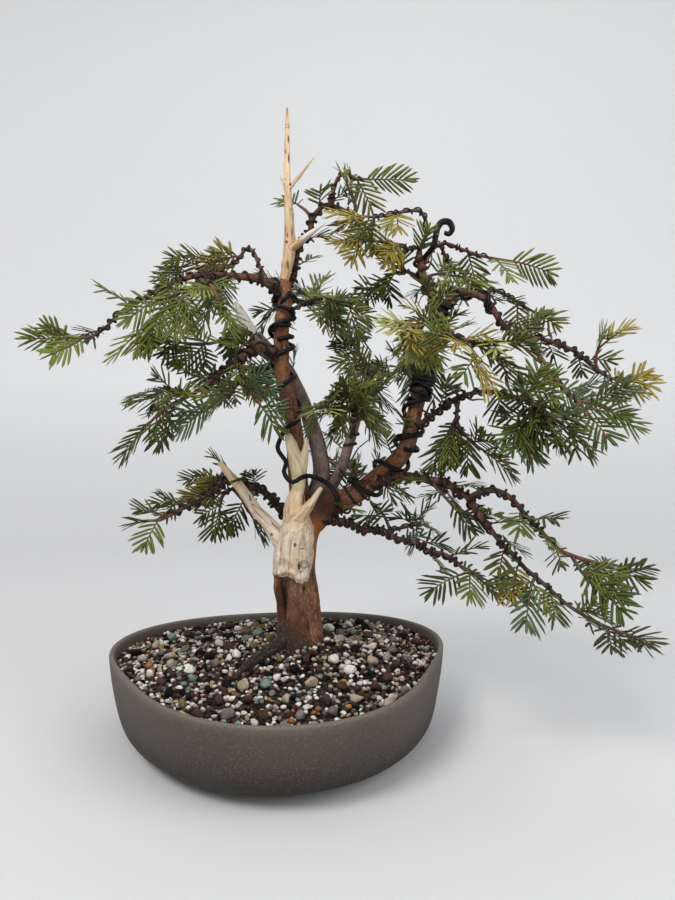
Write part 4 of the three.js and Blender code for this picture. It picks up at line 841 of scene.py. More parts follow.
class Stations:
    """Places on a curve, each with two directions across it that don't twist"""

    def __init__(self, curve, shares):
        self.share = np.asarray(shares, float)
        self.center = curve.at(self.share)
        self.heading = curve.heading(self.share)
        side = np.cross((0, -1, 0) if abs(self.heading[0, 2]) > STEEP else UP, self.heading[0])
        self.side = np.empty_like(self.center)
        for i, heading in enumerate(self.heading):
            side = unit(side - heading * np.dot(side, heading))
            self.side[i] = side
        self.over = np.cross(self.heading, self.side)

    def rings(self, radii, angles):
        """Rings of points, one radius for each place and angle"""
        return (self.center[:, None] + self.side[:, None] * (radii * np.cos(angles))[..., None]
            + self.over[:, None] * (radii * np.sin(angles))[..., None])

    def beside(self, rows, out, angle):
        """One point beside each of some places, so far out and so far round"""
        return (self.center[rows] + self.side[rows] * (out * np.cos(angle))[:, None]
            + self.over[rows] * (out * np.sin(angle))[:, None])


def smooth_along(values, share):
    """Like along, but with rounded corners"""
    knots = np.stack([np.arange(len(values)), values, np.zeros(len(values))], axis=-1)
    return Curve(knots).raw(np.atleast_1d(share))[:, 1]


def round_rings(centers, sides, overs, radii):
    """Rings of points round the middle of a thin twig"""
    angles = np.arange(SHOOT_SIDES) / SHOOT_SIDES * TAU
    around = sides[:, None] * np.cos(angles)[:, None] + overs[:, None] * np.sin(angles)[:, None]
    return centers[:, None] + radii[:, None, None] * around


# Meshes

def skin(rings):
    """Points and faces of a closed skin over rings of equally many points"""
    count, around = rings.shape[:2]
    points = np.concatenate([rings.reshape(-1, 3), rings[[0, -1]].mean(axis=1)])
    row = np.arange(around)
    after = (row + 1) % around
    steps = np.arange(count - 1)[:, None] * around
    quads = np.stack([row + steps, after + steps, after + steps + around, row + steps + around], axis=-1)
    last = (count - 1) * around
    start = np.stack([after, row, np.full(around, count * around)], axis=-1)
    end = np.stack([row + last, after + last, np.full(around, count * around + 1)], axis=-1)
    return points, [quads.reshape(-1, 4), start, end]


class Heap:
    """Many small meshes gathered into one piece"""

    def __init__(self):
        self.points = []
        self.faces = []
        self.paints = []
        self.count = 0

    def add(self, points, faces, paint=0):
        """Adds points and groups of faces; the paint is one number, or a list with one for each group"""
        for number, group in enumerate(faces):
            self.faces.append(group + self.count)
            tone = paint[number] if isinstance(paint, list) else paint
            self.paints.append(np.broadcast_to(tone, len(group)))
        self.points.append(points.reshape(-1, 3))
        self.count += len(self.points[-1])

    def build(self, name, finishes):
        points = np.concatenate(self.points) * MM
        sizes = np.concatenate([np.full(len(group), group.shape[1]) for group in self.faces])
        corners = np.concatenate([group.ravel() for group in self.faces])
        mesh = bpy.data.meshes.new(name)
        mesh.vertices.add(len(points))
        mesh.vertices.foreach_set("co", points.ravel())
        mesh.loops.add(len(corners))
        mesh.loops.foreach_set("vertex_index", corners)
        mesh.polygons.add(len(sizes))
        mesh.polygons.foreach_set("loop_start", np.concatenate([[0], np.cumsum(sizes)[:-1]]))
        for finish in finishes:
            mesh.materials.append(finish)
        mesh.polygons.foreach_set("material_index", np.concatenate(self.paints).astype(np.int32))
        mesh.polygons.foreach_set("use_smooth", np.ones(len(sizes), bool))
        mesh.update(calc_edges=True)
        mesh.validate()
        piece = bpy.data.objects.new(name, mesh)
        bpy.context.scene.collection.objects.link(piece)
        return piece


def fused(piece, voxel):
    """The piece as one skin without the walls inside it"""
    remesh = piece.modifiers.new("fuse", "REMESH")
    remesh.mode = "VOXEL"
    remesh.voxel_size = voxel * MM
    remesh.use_smooth_shade = True
    piece.modifiers.new("smooth", "SMOOTH")
    graph = bpy.context.evaluated_depsgraph_get()
    mesh = bpy.data.meshes.new_from_object(piece.evaluated_get(graph))
    finishes = list(piece.data.materials)
    piece.modifiers.clear()
    piece.data = mesh
    mesh.materials.clear()
    for finish in finishes:
        mesh.materials.append(finish)
    mesh.polygons.foreach_set("use_smooth", np.ones(len(mesh.polygons), bool))
    return piece


def place(piece, slot, *nodes):
    """The piece rides on the only body and stands for the nodes that it replaces"""
    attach(piece, "root")
    if nodes:
        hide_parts(*nodes)
    return piece


# Finishes

def new_finish(name, color, roughness, specular):
    finish = bpy.data.materials.new(name)
    finish.use_nodes = True
    inputs = finish.node_tree.nodes["Principled BSDF"].inputs
    inputs["Base Color"].default_value = (*color, 1)
    inputs["Roughness"].default_value = roughness
    inputs["Specular IOR Level"].default_value = specular
    return finish


def add_node(finish, kind, inputs, **settings):
    """A new node whose inputs are numbers, colours or other nodes' outputs"""
    node = finish.node_tree.nodes.new("ShaderNode" + kind)
    for key, value in settings.items():
        setattr(node, key, value)
    for key, value in inputs.items():
        if isinstance(value, bpy.types.NodeSocket):
            finish.node_tree.links.new(value, node.inputs[key])
        else:
            node.inputs[key].default_value = value
    return node


def reckoned(finish, kind, operation, *values, output=0):
    """What a node works out from numbers or from places"""
    return add_node(finish, kind, dict(enumerate(values)), operation=operation).outputs[output]


def spots(finish, where, scale, detail=2.0, stretch=(1, 1, 1)):
    """A noise over places, finer with a larger scale and drawn out where the stretch is small"""
    spread = add_node(finish, "Mapping", {"Vector": where, "Scale": stretch}).outputs["Vector"]
    return add_node(finish, "TexNoise", {"Vector": spread, "Scale": scale, "Detail": detail}).outputs["Fac"]


def ramp(finish, factor, stops):
    """Colours or greys read from a factor at a few places"""
    node = add_node(finish, "ValToRGB", {"Fac": factor})
    elements = node.color_ramp.elements
    while len(elements) < len(stops):
        elements.new(0.5)
    for element, (position, color) in zip(elements, stops):
        element.position = position
        element.color = (*color, 1) if isinstance(color, tuple) else (color, color, color, 1)
    return node.outputs["Color"]


def blended(finish, factor, first, second, way="MIX"):
    """Two colours blended by a factor"""
    first, second = ((*color, 1) if isinstance(color, tuple) else color for color in (first, second))
    return add_node(finish, "Mix", {0: factor, 6: first, 7: second}, data_type="RGBA",
        blend_type=way).outputs[2]


def layered(finish, base, *layers):
    """Colours laid over a base one by one, each as strong as a ramp of its factor says"""
    for factor, stops, color in layers:
        base = blended(finish, ramp(finish, factor, stops), base, color)
    return base


def paint(finish, color, roughness=None, heights=()):
    """Joins a finish's patterns to its shader; each height is a factor, a depth in millimetres and a
    strength"""
    inputs = finish.node_tree.nodes["Principled BSDF"].inputs
    links = finish.node_tree.links
    links.new(color, inputs["Base Color"])
    if roughness is not None:
        links.new(roughness, inputs["Roughness"])
    normal = None
    for factor, depth, strength in heights:
        bump = {"Height": factor, "Distance": depth * MM, "Strength": strength}
        if normal is not None:
            bump["Normal"] = normal
        normal = add_node(finish, "Bump", bump).outputs["Normal"]
    if normal is not None:
        links.new(normal, inputs["Normal"])


def on_object(finish):
    return add_node(finish, "TexCoord", {}).outputs["Object"]


def along_grain(finish):
    return add_node(finish, "Attribute", {}, attribute_name="grain").outputs["Vector"]


def height_over(finish, where, unevenness):
    """The height of a place in metres, with a wavy edge"""
    level = add_node(finish, "SeparateXYZ", {"Vector": where}).outputs["Z"]
    waves = spots(finish, where, 55, 3)
    lowered = reckoned(finish, "Math", "SUBTRACT", level, unevenness / 2)
    return reckoned(finish, "Math", "MULTIPLY_ADD", waves, unevenness, lowered)


def marked(finish, where, color, mark, middle, stretch, stops):
    """A colour with rings of another round a middle"""
    away = reckoned(finish, "VectorMath", "SUBTRACT", where, [part * MM for part in middle])
    away = reckoned(finish, "VectorMath", "MULTIPLY", away, stretch)
    reach = reckoned(finish, "VectorMath", "LENGTH", away, output="Value")
    reach = reckoned(finish, "Math", "MULTIPLY", reach, 1 / MARK_REACH / MM)
    return layered(finish, color, (reach, stops, mark))


# Bowl

def bowl_radius(angle, height):
    """How far the bowl's outside reaches: near round at its foot and three-cornered at its rim"""
    share = np.broadcast_to(height / BOWL_HEIGHT, np.shape(angle))
    oval = BOWL_OVAL * np.cos(2 * angle)
    corners = BOWL_CORNERS[0] * np.sin(3 * angle) + BOWL_CORNERS[1] * np.cos(3 * angle)
    shaping = (oval + corners) * smooth_along(BOWL_SHAPING, share)
    return BOWL_RADIUS * smooth_along(BOWL_FLARE, share) + shaping


def bowl_ring(height, inset):
    angle = np.arange(BOWL_STEPS) / BOWL_STEPS * TAU
    x, y, z = np.cos(angle), np.sin(angle), np.full(BOWL_STEPS, float(height))
    waves = BOWL_WAVES * noise(np.stack([3 * x, 3 * y, z / BOWL_WAVE_HEIGHT], axis=-1))
    radius = bowl_radius(angle, height) - inset + waves
    return np.stack([radius * x, radius * y, z], axis=-1)


def bowl_finish():
    """Matt stoneware: warm grey with soft mottling, a painted highlight at its lip and painted shade
    towards its foot
    """
    finish = new_finish("stoneware", (0.1, 0.082, 0.07), 0.66, 0.3)
    where = on_object(finish)
    # The ramp by height paints shade that darkens the bowl towards its foot and a highlight on its lip
    body = ramp(finish, height_over(finish, where, 0.004), BOWL_PAINTED_SHADE_AND_HIGHLIGHT)
    clouds = ramp(finish, spots(finish, where, 22, 4), [(0.3, 0.78), (0.7, 1.0)])
    fine = spots(finish, where, 900, 3)
    body = layered(finish, blended(finish, 0.9, body, clouds, "MULTIPLY"),
        (fine, [(0.56, 0.0), (0.7, 0.5)], PALE_SPECKLE), (fine, [(0.3, 0.55), (0.42, 0.0)], DARK_SPECKLE))
    paint(finish, body, ramp(finish, clouds, [(0.75, 0.56), (1.0, 0.74)]),
        [(spots(finish, where, 45, 3), 0.5, 0.3), (fine, 0.1, 0.4)])
    return finish


def make_bowl():
    lip = BOWL_WALL / 2
    low = BOWL_HEIGHT - lip
    profile = [(0.6, FOOT_ROUND + 9), (0, FOOT_ROUND + 7)]
    profile += [(FOOT_ROUND * (1 - math.cos(a)), FOOT_ROUND * (1 - math.sin(a)))
        for a in np.linspace(0, math.pi / 2, 6)]
    profile += [(height, 0) for height in np.linspace(FOOT_ROUND + 2, low, 26)]
    profile += [(low + lip * math.sin(a), lip - lip * math.cos(a))
        for a in np.linspace(LIP_START, math.pi - LIP_START, 9)]
    profile += [(height, BOWL_WALL) for height in np.linspace(low, BOWL_FLOOR + 6, 14)]
    profile.append((BOWL_FLOOR, BOWL_WALL + 6))
    heap = Heap()
    heap.add(*skin(np.array([bowl_ring(*ring) for ring in profile])))
    place(heap.build("stoneware_bowl", [bowl_finish()]), "bowl", "bowl")


# Grit

def ground_height(x, y):
    far = np.minimum(1, np.hypot(x - GRIT_CROWN[0], y - GRIT_CROWN[1]) / GRIT_SPREAD)
    return mix(GRIT_CROWN_HEIGHT, GRIT_EDGE_HEIGHT, far * far)


def top_height(x, y):
    """The ground as the stones lie on it: a little fuller at the back and heaped against the trunk"""
    back = np.clip((y - BACK_START) / (BOWL_RADIUS - BACK_START), 0, 1)
    heaped = np.exp(-((x - HEAP_MIDDLE[0]) ** 2 + (y - HEAP_MIDDLE[1]) ** 2) / HEAP_REACH ** 2)
    return ground_height(x, y) + BACK_RISE * back * (1 - BACK_EASE * back) + HEAP_HEIGHT * heaped


def stone_finish(name, color):
    finish = new_finish(name, color, 0.85, 0.12)
    where = on_object(finish)
    pits = spots(finish, where, 900, 3)
    low, high = (tuple(share * part for part in color) for share in (0.62, 1.15))
    patches = ramp(finish, spots(finish, where, 160, 2), [(0.35, 0.7), (0.6, 1.0)])
    body = ramp(finish, pits, [(0.32, low), (0.55, high)])
    paint(finish, blended(finish, 1.0, body, patches, "MULTIPLY"), None, [(pits, 0.5, 0.6)])
    return finish


def ball(level):
    """Points and triangles of a ball made of even triangles"""
    form = bmesh.new()
    bmesh.ops.create_icosphere(form, subdivisions=level, radius=1)
    points = np.array([v.co for v in form.verts])
    faces = np.array([[v.index for v in f.verts] for f in form.faces])
    form.free()
    return points, faces


def stone_places():
    """The foot, radius and height of each large stone, as in the solids"""
    draw = seeded(STONE_SEED)
    reach = math.ceil(BOWL_RADIUS / STONE_ROW_SPACING)
    for row in range(-reach, reach + 1):
        for column in range(-reach, reach + 1):
            stagger = STONE_SPACING / 2 if row % 2 else 0
            x = column * STONE_SPACING + stagger + STONE_SHIFT * (draw() - 0.5)
            y = row * STONE_ROW_SPACING + STONE_SHIFT * (draw() - 0.5)
            radius, height = mix(*STONE_RADII, draw()), mix(*STONE_HEIGHTS, draw())
            draw()
            foot = np.array([x, y, ground_height(x, y)])
            rim = float(bowl_radius(math.atan2(y, x), GRIT_EDGE_HEIGHT)) - BOWL_WALL
            inside = math.hypot(x, y) + radius + STONE_CLEARANCE < rim
            if inside and is_free(foot, foot + UP * height, radius + STONE_CLEARANCE, NOBODY):
                yield foot, radius, height


def pebble_places(random, stones):
    """Middles and radii of small stones that crowd the ground without sinking far into each other"""
    cell = 2 * STONE_RADII[1]
    near = {}
    for foot, radius, _ in stones:
        near.setdefault((int(foot[0] // cell), int(foot[1] // cell)), []).append((*foot[:2], radius))
    placed = 0
    for _ in range(PEBBLE_TRIES):
        if placed == PEBBLE_COUNT:
            break
        radius = random.uniform(*PEBBLE_RADII) * random.uniform(*PEBBLE_WEAR)
        angle, out = random.uniform(0, TAU), math.sqrt(random.random())
        reach = float(bowl_radius(angle, PEBBLE_LEVEL)) - BOWL_WALL - radius * PEBBLE_EDGE
        x, y = out * reach * math.cos(angle), out * reach * math.sin(angle)
        column, row = int(x // cell), int(y // cell)
        around = [stone for i in (-1, 0, 1) for j in (-1, 0, 1)
            for stone in near.get((column + i, row + j), ())]
        if any(math.hypot(x - a, y - b) < PEBBLE_OVERLAP * (radius + r) for a, b, r in around):
            continue
        near.setdefault((column, row), []).append((x, y, radius))
        placed += 1
        yield x, y, radius


def pebble(ball_points, random, halves):
    """An uneven stone with a few worn flats, in any position, that reaches as far as its half sizes"""
    bumps = noise(ball_points * PEBBLE_FINENESS + random.uniform(*NOISE_PLACES, 3))
    form = ball_points * (1 + PEBBLE_BUMPS * bumps)[:, None]
    for _ in range(PEBBLE_FLATS):
        flat = unit(random.normal(size=3))
        over = np.maximum(form @ flat - random.uniform(*PEBBLE_FLAT_LEVELS), 0)
        form = form - over[:, None] * flat
    spin, _ = np.linalg.qr(random.normal(size=(3, 3)))
    form = form * (1, random.uniform(*PEBBLE_WIDTHS), random.uniform(*PEBBLE_DEPTHS)) @ spin.T
    return form / np.abs(form).max(axis=0) * halves


def pick(shares, random, most=1):
    """The number of one of some shares, drawn as often as it is large"""
    return min(int(np.searchsorted(np.cumsum(shares), random.random() * most)), len(shares) - 1)


def make_bed():
    """The ground between the stones: near-black, partly dark soil and partly painted shade in the gaps"""
    reach = BOWL_WALL + BED_GAP
    rings = [bowl_ring(BOWL_FLOOR + 1, 7), bowl_ring(24, reach), bowl_ring(GRIT_EDGE_HEIGHT - 6, reach)]
    edge = bowl_ring(GRIT_EDGE_HEIGHT, reach)
    for share in np.linspace(0.98, 0.02, 40):
        ring = edge * share
        ring[:, 2] = top_height(ring[:, 0], ring[:, 1]) - BED_SINK + BED_ROUGHNESS * noise(ring / 3)
        rings.append(ring)
    bed = Heap()
    bed.add(*skin(np.array(rings)))
    soil = new_finish("grit_fines", (0.03, 0.023, 0.019), 0.95, 0.5)
    crumbs = spots(soil, on_object(soil), 700, 3)
    paint(soil, ramp(soil, crumbs, SOIL_AND_GAP_SHADE_COLORS), None, [(crumbs, 1.2, 0.8)])
    place(bed.build("grit_bed", [soil]), "grit", "grit")


def make_grit():
    make_bed()
    random = np.random.default_rng(GRIT_SEED)
    points, faces = ball(2)
    names, colors, small_shares, large_shares = zip(*STONES)
    even, odd, large = Heap(), Heap(), Heap()
    stones = list(stone_places())
    for (x, y, _), radius, height in stones:
        radius *= random.uniform(*STONE_WEAR)
        depth = (height + STONE_SINK) / 2
        form = pebble(points, random, (radius, radius * random.uniform(*STONE_WIDTHS), depth))
        foot = np.array([x, y, top_height(x, y)])
        large.add(form + foot + UP * (height - depth), [faces], pick(large_shares, random))
    trunk = limbs["trunk"].curve.at(0)[0]
    for i, (x, y, radius) in enumerate(pebble_places(random, stones)):
        form = pebble(points, random, radius * random.uniform(*PEBBLE_SIZES))
        level = top_height(x, y) - PEBBLE_SINK + random.uniform(*PEBBLE_LIFT) * radius
        kind = pick(small_shares, random)
        if math.hypot(x - trunk[0], y - trunk[1]) > TRUNK_ROOM:
            (odd if i % 2 else even).add(form + (x, y, level), [faces], kind)
    finishes = [stone_finish(name, color) for name, color in zip(names, colors)]
    for name, heap in (("stones_even", even), ("stones_odd", odd), ("stones_large", large)):
        place(heap.build(name, finishes), "grit")


# Limbs and the room that they take

limbs = {}
occupied = {"a": np.empty((MOST_ROOMS, 3)), "b": np.empty((MOST_ROOMS, 3)), "radius": np.empty(MOST_ROOMS),
    "owner": np.empty(MOST_ROOMS, int), "count": 0}


class Limb:
    """One tapering limb; its radii are spread evenly from foot to tip"""

    def __init__(self, path, radii, name="dry", start=None, gnarl=0.05, turn=0.6):
        first = [limbs[start[0]].curve.at(start[1])[0]] if start else []
        self.curve = Curve([*first, *path])
        self.radii = radii
        slimming = mix(1, SLIM_TIPS.get(name, 1), np.sqrt(np.linspace(0, 1, len(radii))))
        self.drawn = np.array(radii) * slimming
        self.name = name
        self.gnarl = gnarl
        self.turn = turn

    def radius(self, share, angle):
        wave = 0.6 * np.sin(2 * angle + 5 * share + self.turn) + 0.4 * np.sin(3 * angle - 7 * share)
        return along(self.drawn, share) * (1 + self.gnarl * wave)


def occupy(curve, count, radius_at, owner):
    """Notes the room that wood takes, so that no foliage grows through it"""
    share = np.linspace(0, 1, count + 1)
    points, radii = curve.at(share), radius_at(share)
    note_rooms(points[:-1], points[1:], np.maximum(radii[:-1], radii[1:]), owner)


def note_rooms(a, b, radius, owner):
    rows = slice(occupied["count"], occupied["count"] + len(a))
    for key, values in (("a", a), ("b", b), ("radius", radius), ("owner", owner)):
        occupied[key][rows] = values
    occupied["count"] = rows.stop


def note_wood(limb, steps=DRY_ROOM_STEPS):
    occupy(limb.curve, steps, lambda share: along(limb.radii, share) * BARK_SWELL, WOOD)


def is_free(a, b, radius, owner):
    """Whether a straight stretch keeps clear of all that is noted, apart from what its owner holds"""
    count = occupied["count"]
    c, d = occupied["a"][:count], occupied["b"][:count]
    u, v, w = b - a, d - c, a - c
    uu, uv, vv = u @ u, v @ u, np.einsum("ij,ij->i", v, v)
    uw, vw = w @ u, np.einsum("ij,ij->i", v, w)
    flat = uu * vv - uv * uv
    s = np.clip(np.where(flat > 1e-9, (uv * vw - vv * uw) / np.maximum(flat, 1e-9), 0), 0, 1)
    t = np.clip((uv * s + vw) / vv, 0, 1)
    s = np.clip((uv * t - uw) / uu, 0, 1)
    apart = np.linalg.norm(w + u * s[:, None] - v * t[:, None], axis=1)
    touches = (apart < radius + occupied["radius"][:count]) & (occupied["owner"][:count] != owner)
    return not touches.any()


def clear_of_wood(points, margin):
    """Which points lie outside every limb"""
    wood = np.flatnonzero(occupied["owner"][:occupied["count"]] == WOOD)
    a, b = occupied["a"][wood], occupied["b"][wood]
    line = b - a
    away = points[:, None] - a
    share = np.clip(np.einsum("nmk,mk->nm", away, line) / np.einsum("mk,mk->m", line, line), 0, 1)
    apart = np.linalg.norm(away - share[..., None] * line, axis=-1)
    return (apart > occupied["radius"][wood] + margin).all(axis=1)


def depth_on(radius, least, rise, most):
    """How deep relief is on wood of some radius"""
    return np.minimum(most, rise * radius + least)


def bark_relief(limb, share, angle, radius):
    """Plates, cracks and scales that run along the limb, in millimetres out from its plain surface"""
    around = np.stack([np.cos(angle) * radius, np.sin(angle) * radius,
        share * limb.curve.length + limb.turn * 97], axis=-1)
    plates = noise(around / PLATE_SIZE)
    cracks = crease(noise(around / CRACK_SIZE + 40), CRACK_WIDTH)
    scales = noise(around / SCALE_SIZE + 80)
    nubs = np.maximum(noise(around / NUB_SIZE + 120) - NUB_START, 0)
    knobs = NUB_HEIGHT * nubs * (radius < NUBBED_RADIUS) * (limb.name not in GREY_LIMBS)
    rough = 1 if limb.name in ("root", "flange") else SMOOTH_BARK
    relief = rough * (PLATE_DEPTH * plates + SCALE_DEPTH * scales - CRACK_DEPTH * cracks) + knobs
    return depth_on(radius, *BARK_DEPTHS) * relief


def dry_relief(limb, share, angle, radius):
    """The grain of stripped wood: long grooves that wind a little round the limb, and a few deep checks"""
    wound = angle + GRAIN_TURN * share * limb.curve.length / GRAIN_TURN_LENGTH
    around = np.stack([np.cos(wound) * radius, np.sin(wound) * radius,
        share * limb.curve.length + limb.turn * 61 + 31 * limb.radii[0]], axis=-1)
    grooves = noise(around / GROOVE_SIZE)
    hollows = noise(around / HOLLOW_SIZE + 30)
    checks = crease(noise(around / CHECK_SIZE + 60), CHECK_WIDTH)
    relief = FINE_GROOVE_DEPTH * grooves + HOLLOW_DEPTH * hollows - CHECK_DEPTH * checks
    return depth_on(radius, *DRY_DEPTHS) * relief


def add_limb(heap, limb, relief):
    around = max(LEAST_AROUND, round(TAU * max(limb.radii) / AROUND_STEP))
    count = round(limb.curve.length / RING_STEP)
    shares = np.linspace(0, 1, count + 1)
    angles = np.broadcast_to(np.arange(around) / around * TAU, (count + 1, around))
    share = np.broadcast_to(shares[:, None], angles.shape)
    plain = limb.radius(share, angles)
    rings = Stations(limb.curve, shares).rings(plain + relief(limb, share, angles, plain), angles)
    end = limb.curve.at(1)[0]
    tip = limb.curve.heading(1)[0]
    for closing, forward in LIMB_END:
        rings = np.concatenate([rings, [mix(end, rings[count], closing) + tip * forward * limb.radii[-1]]])
    heap.add(*skin(rings))


def note_grain(piece, group):
    """Gives each point its place round and along the nearest limb, for finishes that follow the grain"""
    columns = [[], [], [], [], []]
    for number, limb in enumerate(group):
        count = max(4, round(limb.curve.length / GRAIN_STEP))
        stations = Stations(limb.curve, np.linspace(0, 1, count + 1))
        lengths = stations.share * limb.curve.length + GRAIN_SHIFT * number
        found = (stations.center, stations.side, stations.over, stations.heading, lengths)
        for column, values in zip(columns, found):
            column.append(values)
    centers, sides, overs, headings, lengths = map(np.concatenate, columns)
    tree = kdtree.KDTree(len(centers))
    for i, center in enumerate(centers):
        tree.insert(center, i)
    tree.balance()
    points = np.empty(len(piece.data.vertices) * 3)
    piece.data.vertices.foreach_get("co", points)
    points = points.reshape(-1, 3) / MM
    near = np.array([tree.find(point)[1] for point in points])
    away = points - centers[near]
    grain = [np.einsum("ij,ij->i", away, across[near]) for across in (sides, overs, headings)]
    grain[2] += lengths[near]
    layer = piece.data.attributes.new("grain", "FLOAT_VECTOR", "POINT")
    layer.data.foreach_set("vector", np.stack(grain, axis=-1).astype(np.float32).ravel())


# Bark

def bark_finish(name):
    """Bark that flakes in plates, weathered grey in places, with moss at the trunk's foot"""
    deep, dark, body, flake = BARKS[name]
    finish = new_finish(name, body, 0.8, 0.16)
    grain = along_grain(finish)
    plates = spots(finish, grain, 0.1, 4, (1, 1, 0.6))
    flakes = spots(finish, grain, 0.55, 4, (1, 1, 0.6))
    cracks = spots(finish, grain, 0.22, 3, (1, 1, 0.3))
    base = layered(finish, ramp(finish, plates, [(0.33, deep), (0.44, dark), (0.56, body), (0.7, dark)]),
        (spots(finish, grain, 0.05, 3), [(0.54, 0.0), (0.7, 0.5)], WEATHERED_BARK_COLOR),
        (flakes, [(0.56, 0.0), (0.68, 0.7)], flake),
        (flakes, [(0.36, 0.6), (0.45, 0.0)], deep),
        (cracks, [(0.31, 0.85), (0.36, 0.0)], CRACK_COLOR))
    if name == "bark_skin":
        base = mossed(finish, base, flakes)
    paint(finish, base, ramp(finish, flakes, [(0.35, 0.7), (0.65, 0.9)]),
        [(cracks, 0.9, 0.5), (flakes, 0.5, 0.7), (spots(finish, grain, 1.6, 2, (1, 1, 0.5)), 0.2, 0.5)])
    return finish


def mossed(finish, base, flakes):
    """The trunk's bark with its dark mossy foot, the marks round the shari, and painted shade in its
    crotch, on its flange and in the groove beside the flange
    """
    where = on_object(finish)
    moss = ramp(finish, spots(finish, where, 150, 3), [(0.46, 0.0), (0.6, 0.8)])
    ground = layered(finish, blended(finish, moss, FOOT_COLOR, MOSS_COLOR),
        (flakes, [(0.5, 0.0), (0.64, 0.45)], DRY_MOSS_COLOR))
    base = layered(finish, base, (height_over(finish, where, 0.02), [(0.079, 0.95), (0.088, 0.0)], ground))
    for mark in FOOT_MOSS_AND_GROOVE_SHADE:
        base = marked(finish, where, base, ground, *mark)
    for mark in VEINS_AND_SHADES:
        base = marked(finish, where, base, *mark)
    return base


def shape_trunk(points):
    """Presses a groove between the trunk and the flange at its left"""
    share = (points[:, 2] - GROOVE_FOOT) / GROOVE_LENGTH
    deep = np.sin(math.pi * np.clip(share, 0, 1)) * (points[:, 1] < GROOVE_FRONT)
    wander = GROOVE_PLACE + GROOVE_WANDER * np.sin(share * 5)
    points[:, 1] += GROOVE_DEPTH * deep * crease(points[:, 0] - wander, GROOVE_WIDTH)
    return points


def make_wood(name, finish, slot, nodes, group, relief, voxel, change=None):
    """Limbs grown together into one skin, which stands for nodes of the solids"""
    heap = Heap()
    for limb in group:
        add_limb(heap, limb, relief)
    if change:
        heap.points = [change(np.concatenate(heap.points))]
    piece = fused(heap.build(name, [finish(name)]), voxel)
    note_grain(piece, group)
    place(piece, slot, *nodes)


def make_bark():
    for index, entry in enumerate(LIMBS):
        limb = Limb(**entry, turn=index * 1.7)
        limbs[limb.name] = limb
        note_wood(limb, math.ceil(limb.curve.length / LIMB_ROOM_STEP))
    roots = [Limb(**ROOT), Limb(**FLANGE)]
    for limb in roots:
        note_wood(limb)
    boughs = [name for name in limbs if name not in STOUT + GREY_LIMBS]
    rows = (("bark_skin", "bark", STOUT, roots, BARK_VOXEL, shape_trunk),
        ("bough_skin", "bark", boughs, [], THIN_VOXEL, None),
        ("grey_bark_skin", "grey_bark", GREY_LIMBS, [], THIN_VOXEL, None))
    for name, slot, nodes, more, voxel, change in rows:
        group = [limbs[node] for node in nodes] + more
        make_wood(name, bark_finish, slot, nodes, group, bark_relief, voxel, change)


# Deadwood

def dry_finish(name):
    """Bare bleached wood: cream with brown and grey weathering, fine grain and dark checks"""
    finish = new_finish(name, (0.6, 0.45, 0.3), 0.75, 0.25)
    grain = along_grain(finish)
    streaks = spots(finish, grain, 0.42, 5, (1, 1, 0.08))
    fine = spots(finish, grain, 1.5, 3, (1, 1, 0.07))
    patches = spots(finish, grain, 0.11, 4, (1, 1, 0.45))
    high = DRY_HIGH[name]
    half = tuple(DRY_HALF * part for part in high)
    base = layered(finish, ramp(finish, streaks, [*DRY_LOW, (0.45, half), (0.6, high)]),
        (patches, [(0.52, 0.0), (0.68, 0.6)], SPIRE_BROWN if name == "dry_spire" else DRY_BROWN),
        (patches, [(0.3, 0.6), (0.4, 0.0)], DRY_PALE),
        (fine, [(0.31, 0.55), (0.39, 0.0)], CHECK_COLOR),
        (spots(finish, grain, 0.4, 3, (1, 1, 0.5)), [(0.29, 0.95), (0.34, 0.0)], HOLE_COLOR))
    where = on_object(finish)
    # The tones include painted light on the shari's prongs
    for mark in TONES_AND_PAINTED_LIGHT.get(name, ()):
        base = marked(finish, where, base, *mark)
    for mark in MARKS.get(name, ()):
        base = marked(finish, where, base, MARK_COLOR, *mark)
    paint(finish, base, None, [(streaks, 0.8, 0.6), (fine, 0.3, 0.6)])
    return finish


def shape_shari(points):
    """Draws the shari's lower lip into a torn, rolled edge and rings its knot"""
    torn = LIP_TEAR * noise(points * LIP_TEAR_FINENESS + 7)
    lip = np.interp(points[:, 0], LIP_PLACES, LIP_HEIGHTS) + torn
    follow = np.clip(1 - (points[:, 2] - LIP_LEVEL) / LIP_REACH, 0, 1) ** 1.5 * (points[:, 1] < LIP_FRONT)
    points[:, 2] += (lip - LIP_LEVEL) * follow
    over = points[:, 2] - lip
    roll = sum(out * crease(over - height, width) for out, height, width in LIP_ROLLS)
    away = np.linalg.norm((points - KNOT) * KNOT_STRETCH, axis=1)
    ripple = RIPPLE_HEIGHT * np.cos(away * RIPPLE_TURN) * crease(away, RIPPLE_REACH)
    points[:, 1] -= (roll + ripple) * (points[:, 1] < CARVED_FRONT)
    return points


def shape_spire(points):
    """Swells the spire at its old knots, more on one side than on the other"""
    middle = limbs["spire"].curve.at(np.linspace(0, 1, 60))
    center = np.stack([np.interp(points[:, 2], middle[:, 2], middle[:, k]) for k in (0, 1)], axis=-1)
    away = points[:, :2] - center
    grown = np.zeros(len(points))
    for number, (height, swell) in enumerate(SPIRE_KNOTS):
        lean = 1 + np.cos(np.arctan2(away[:, 1], away[:, 0]) - 1.9 * number)
        grown += 0.5 * swell * lean * crease(points[:, 2] - height, KNOT_HEIGHT)
    near = np.linalg.norm(away, axis=1) < KNOT_REACH
    points[:, :2] += unit(away + 1e-6) * (grown * near)[:, None]
    return points


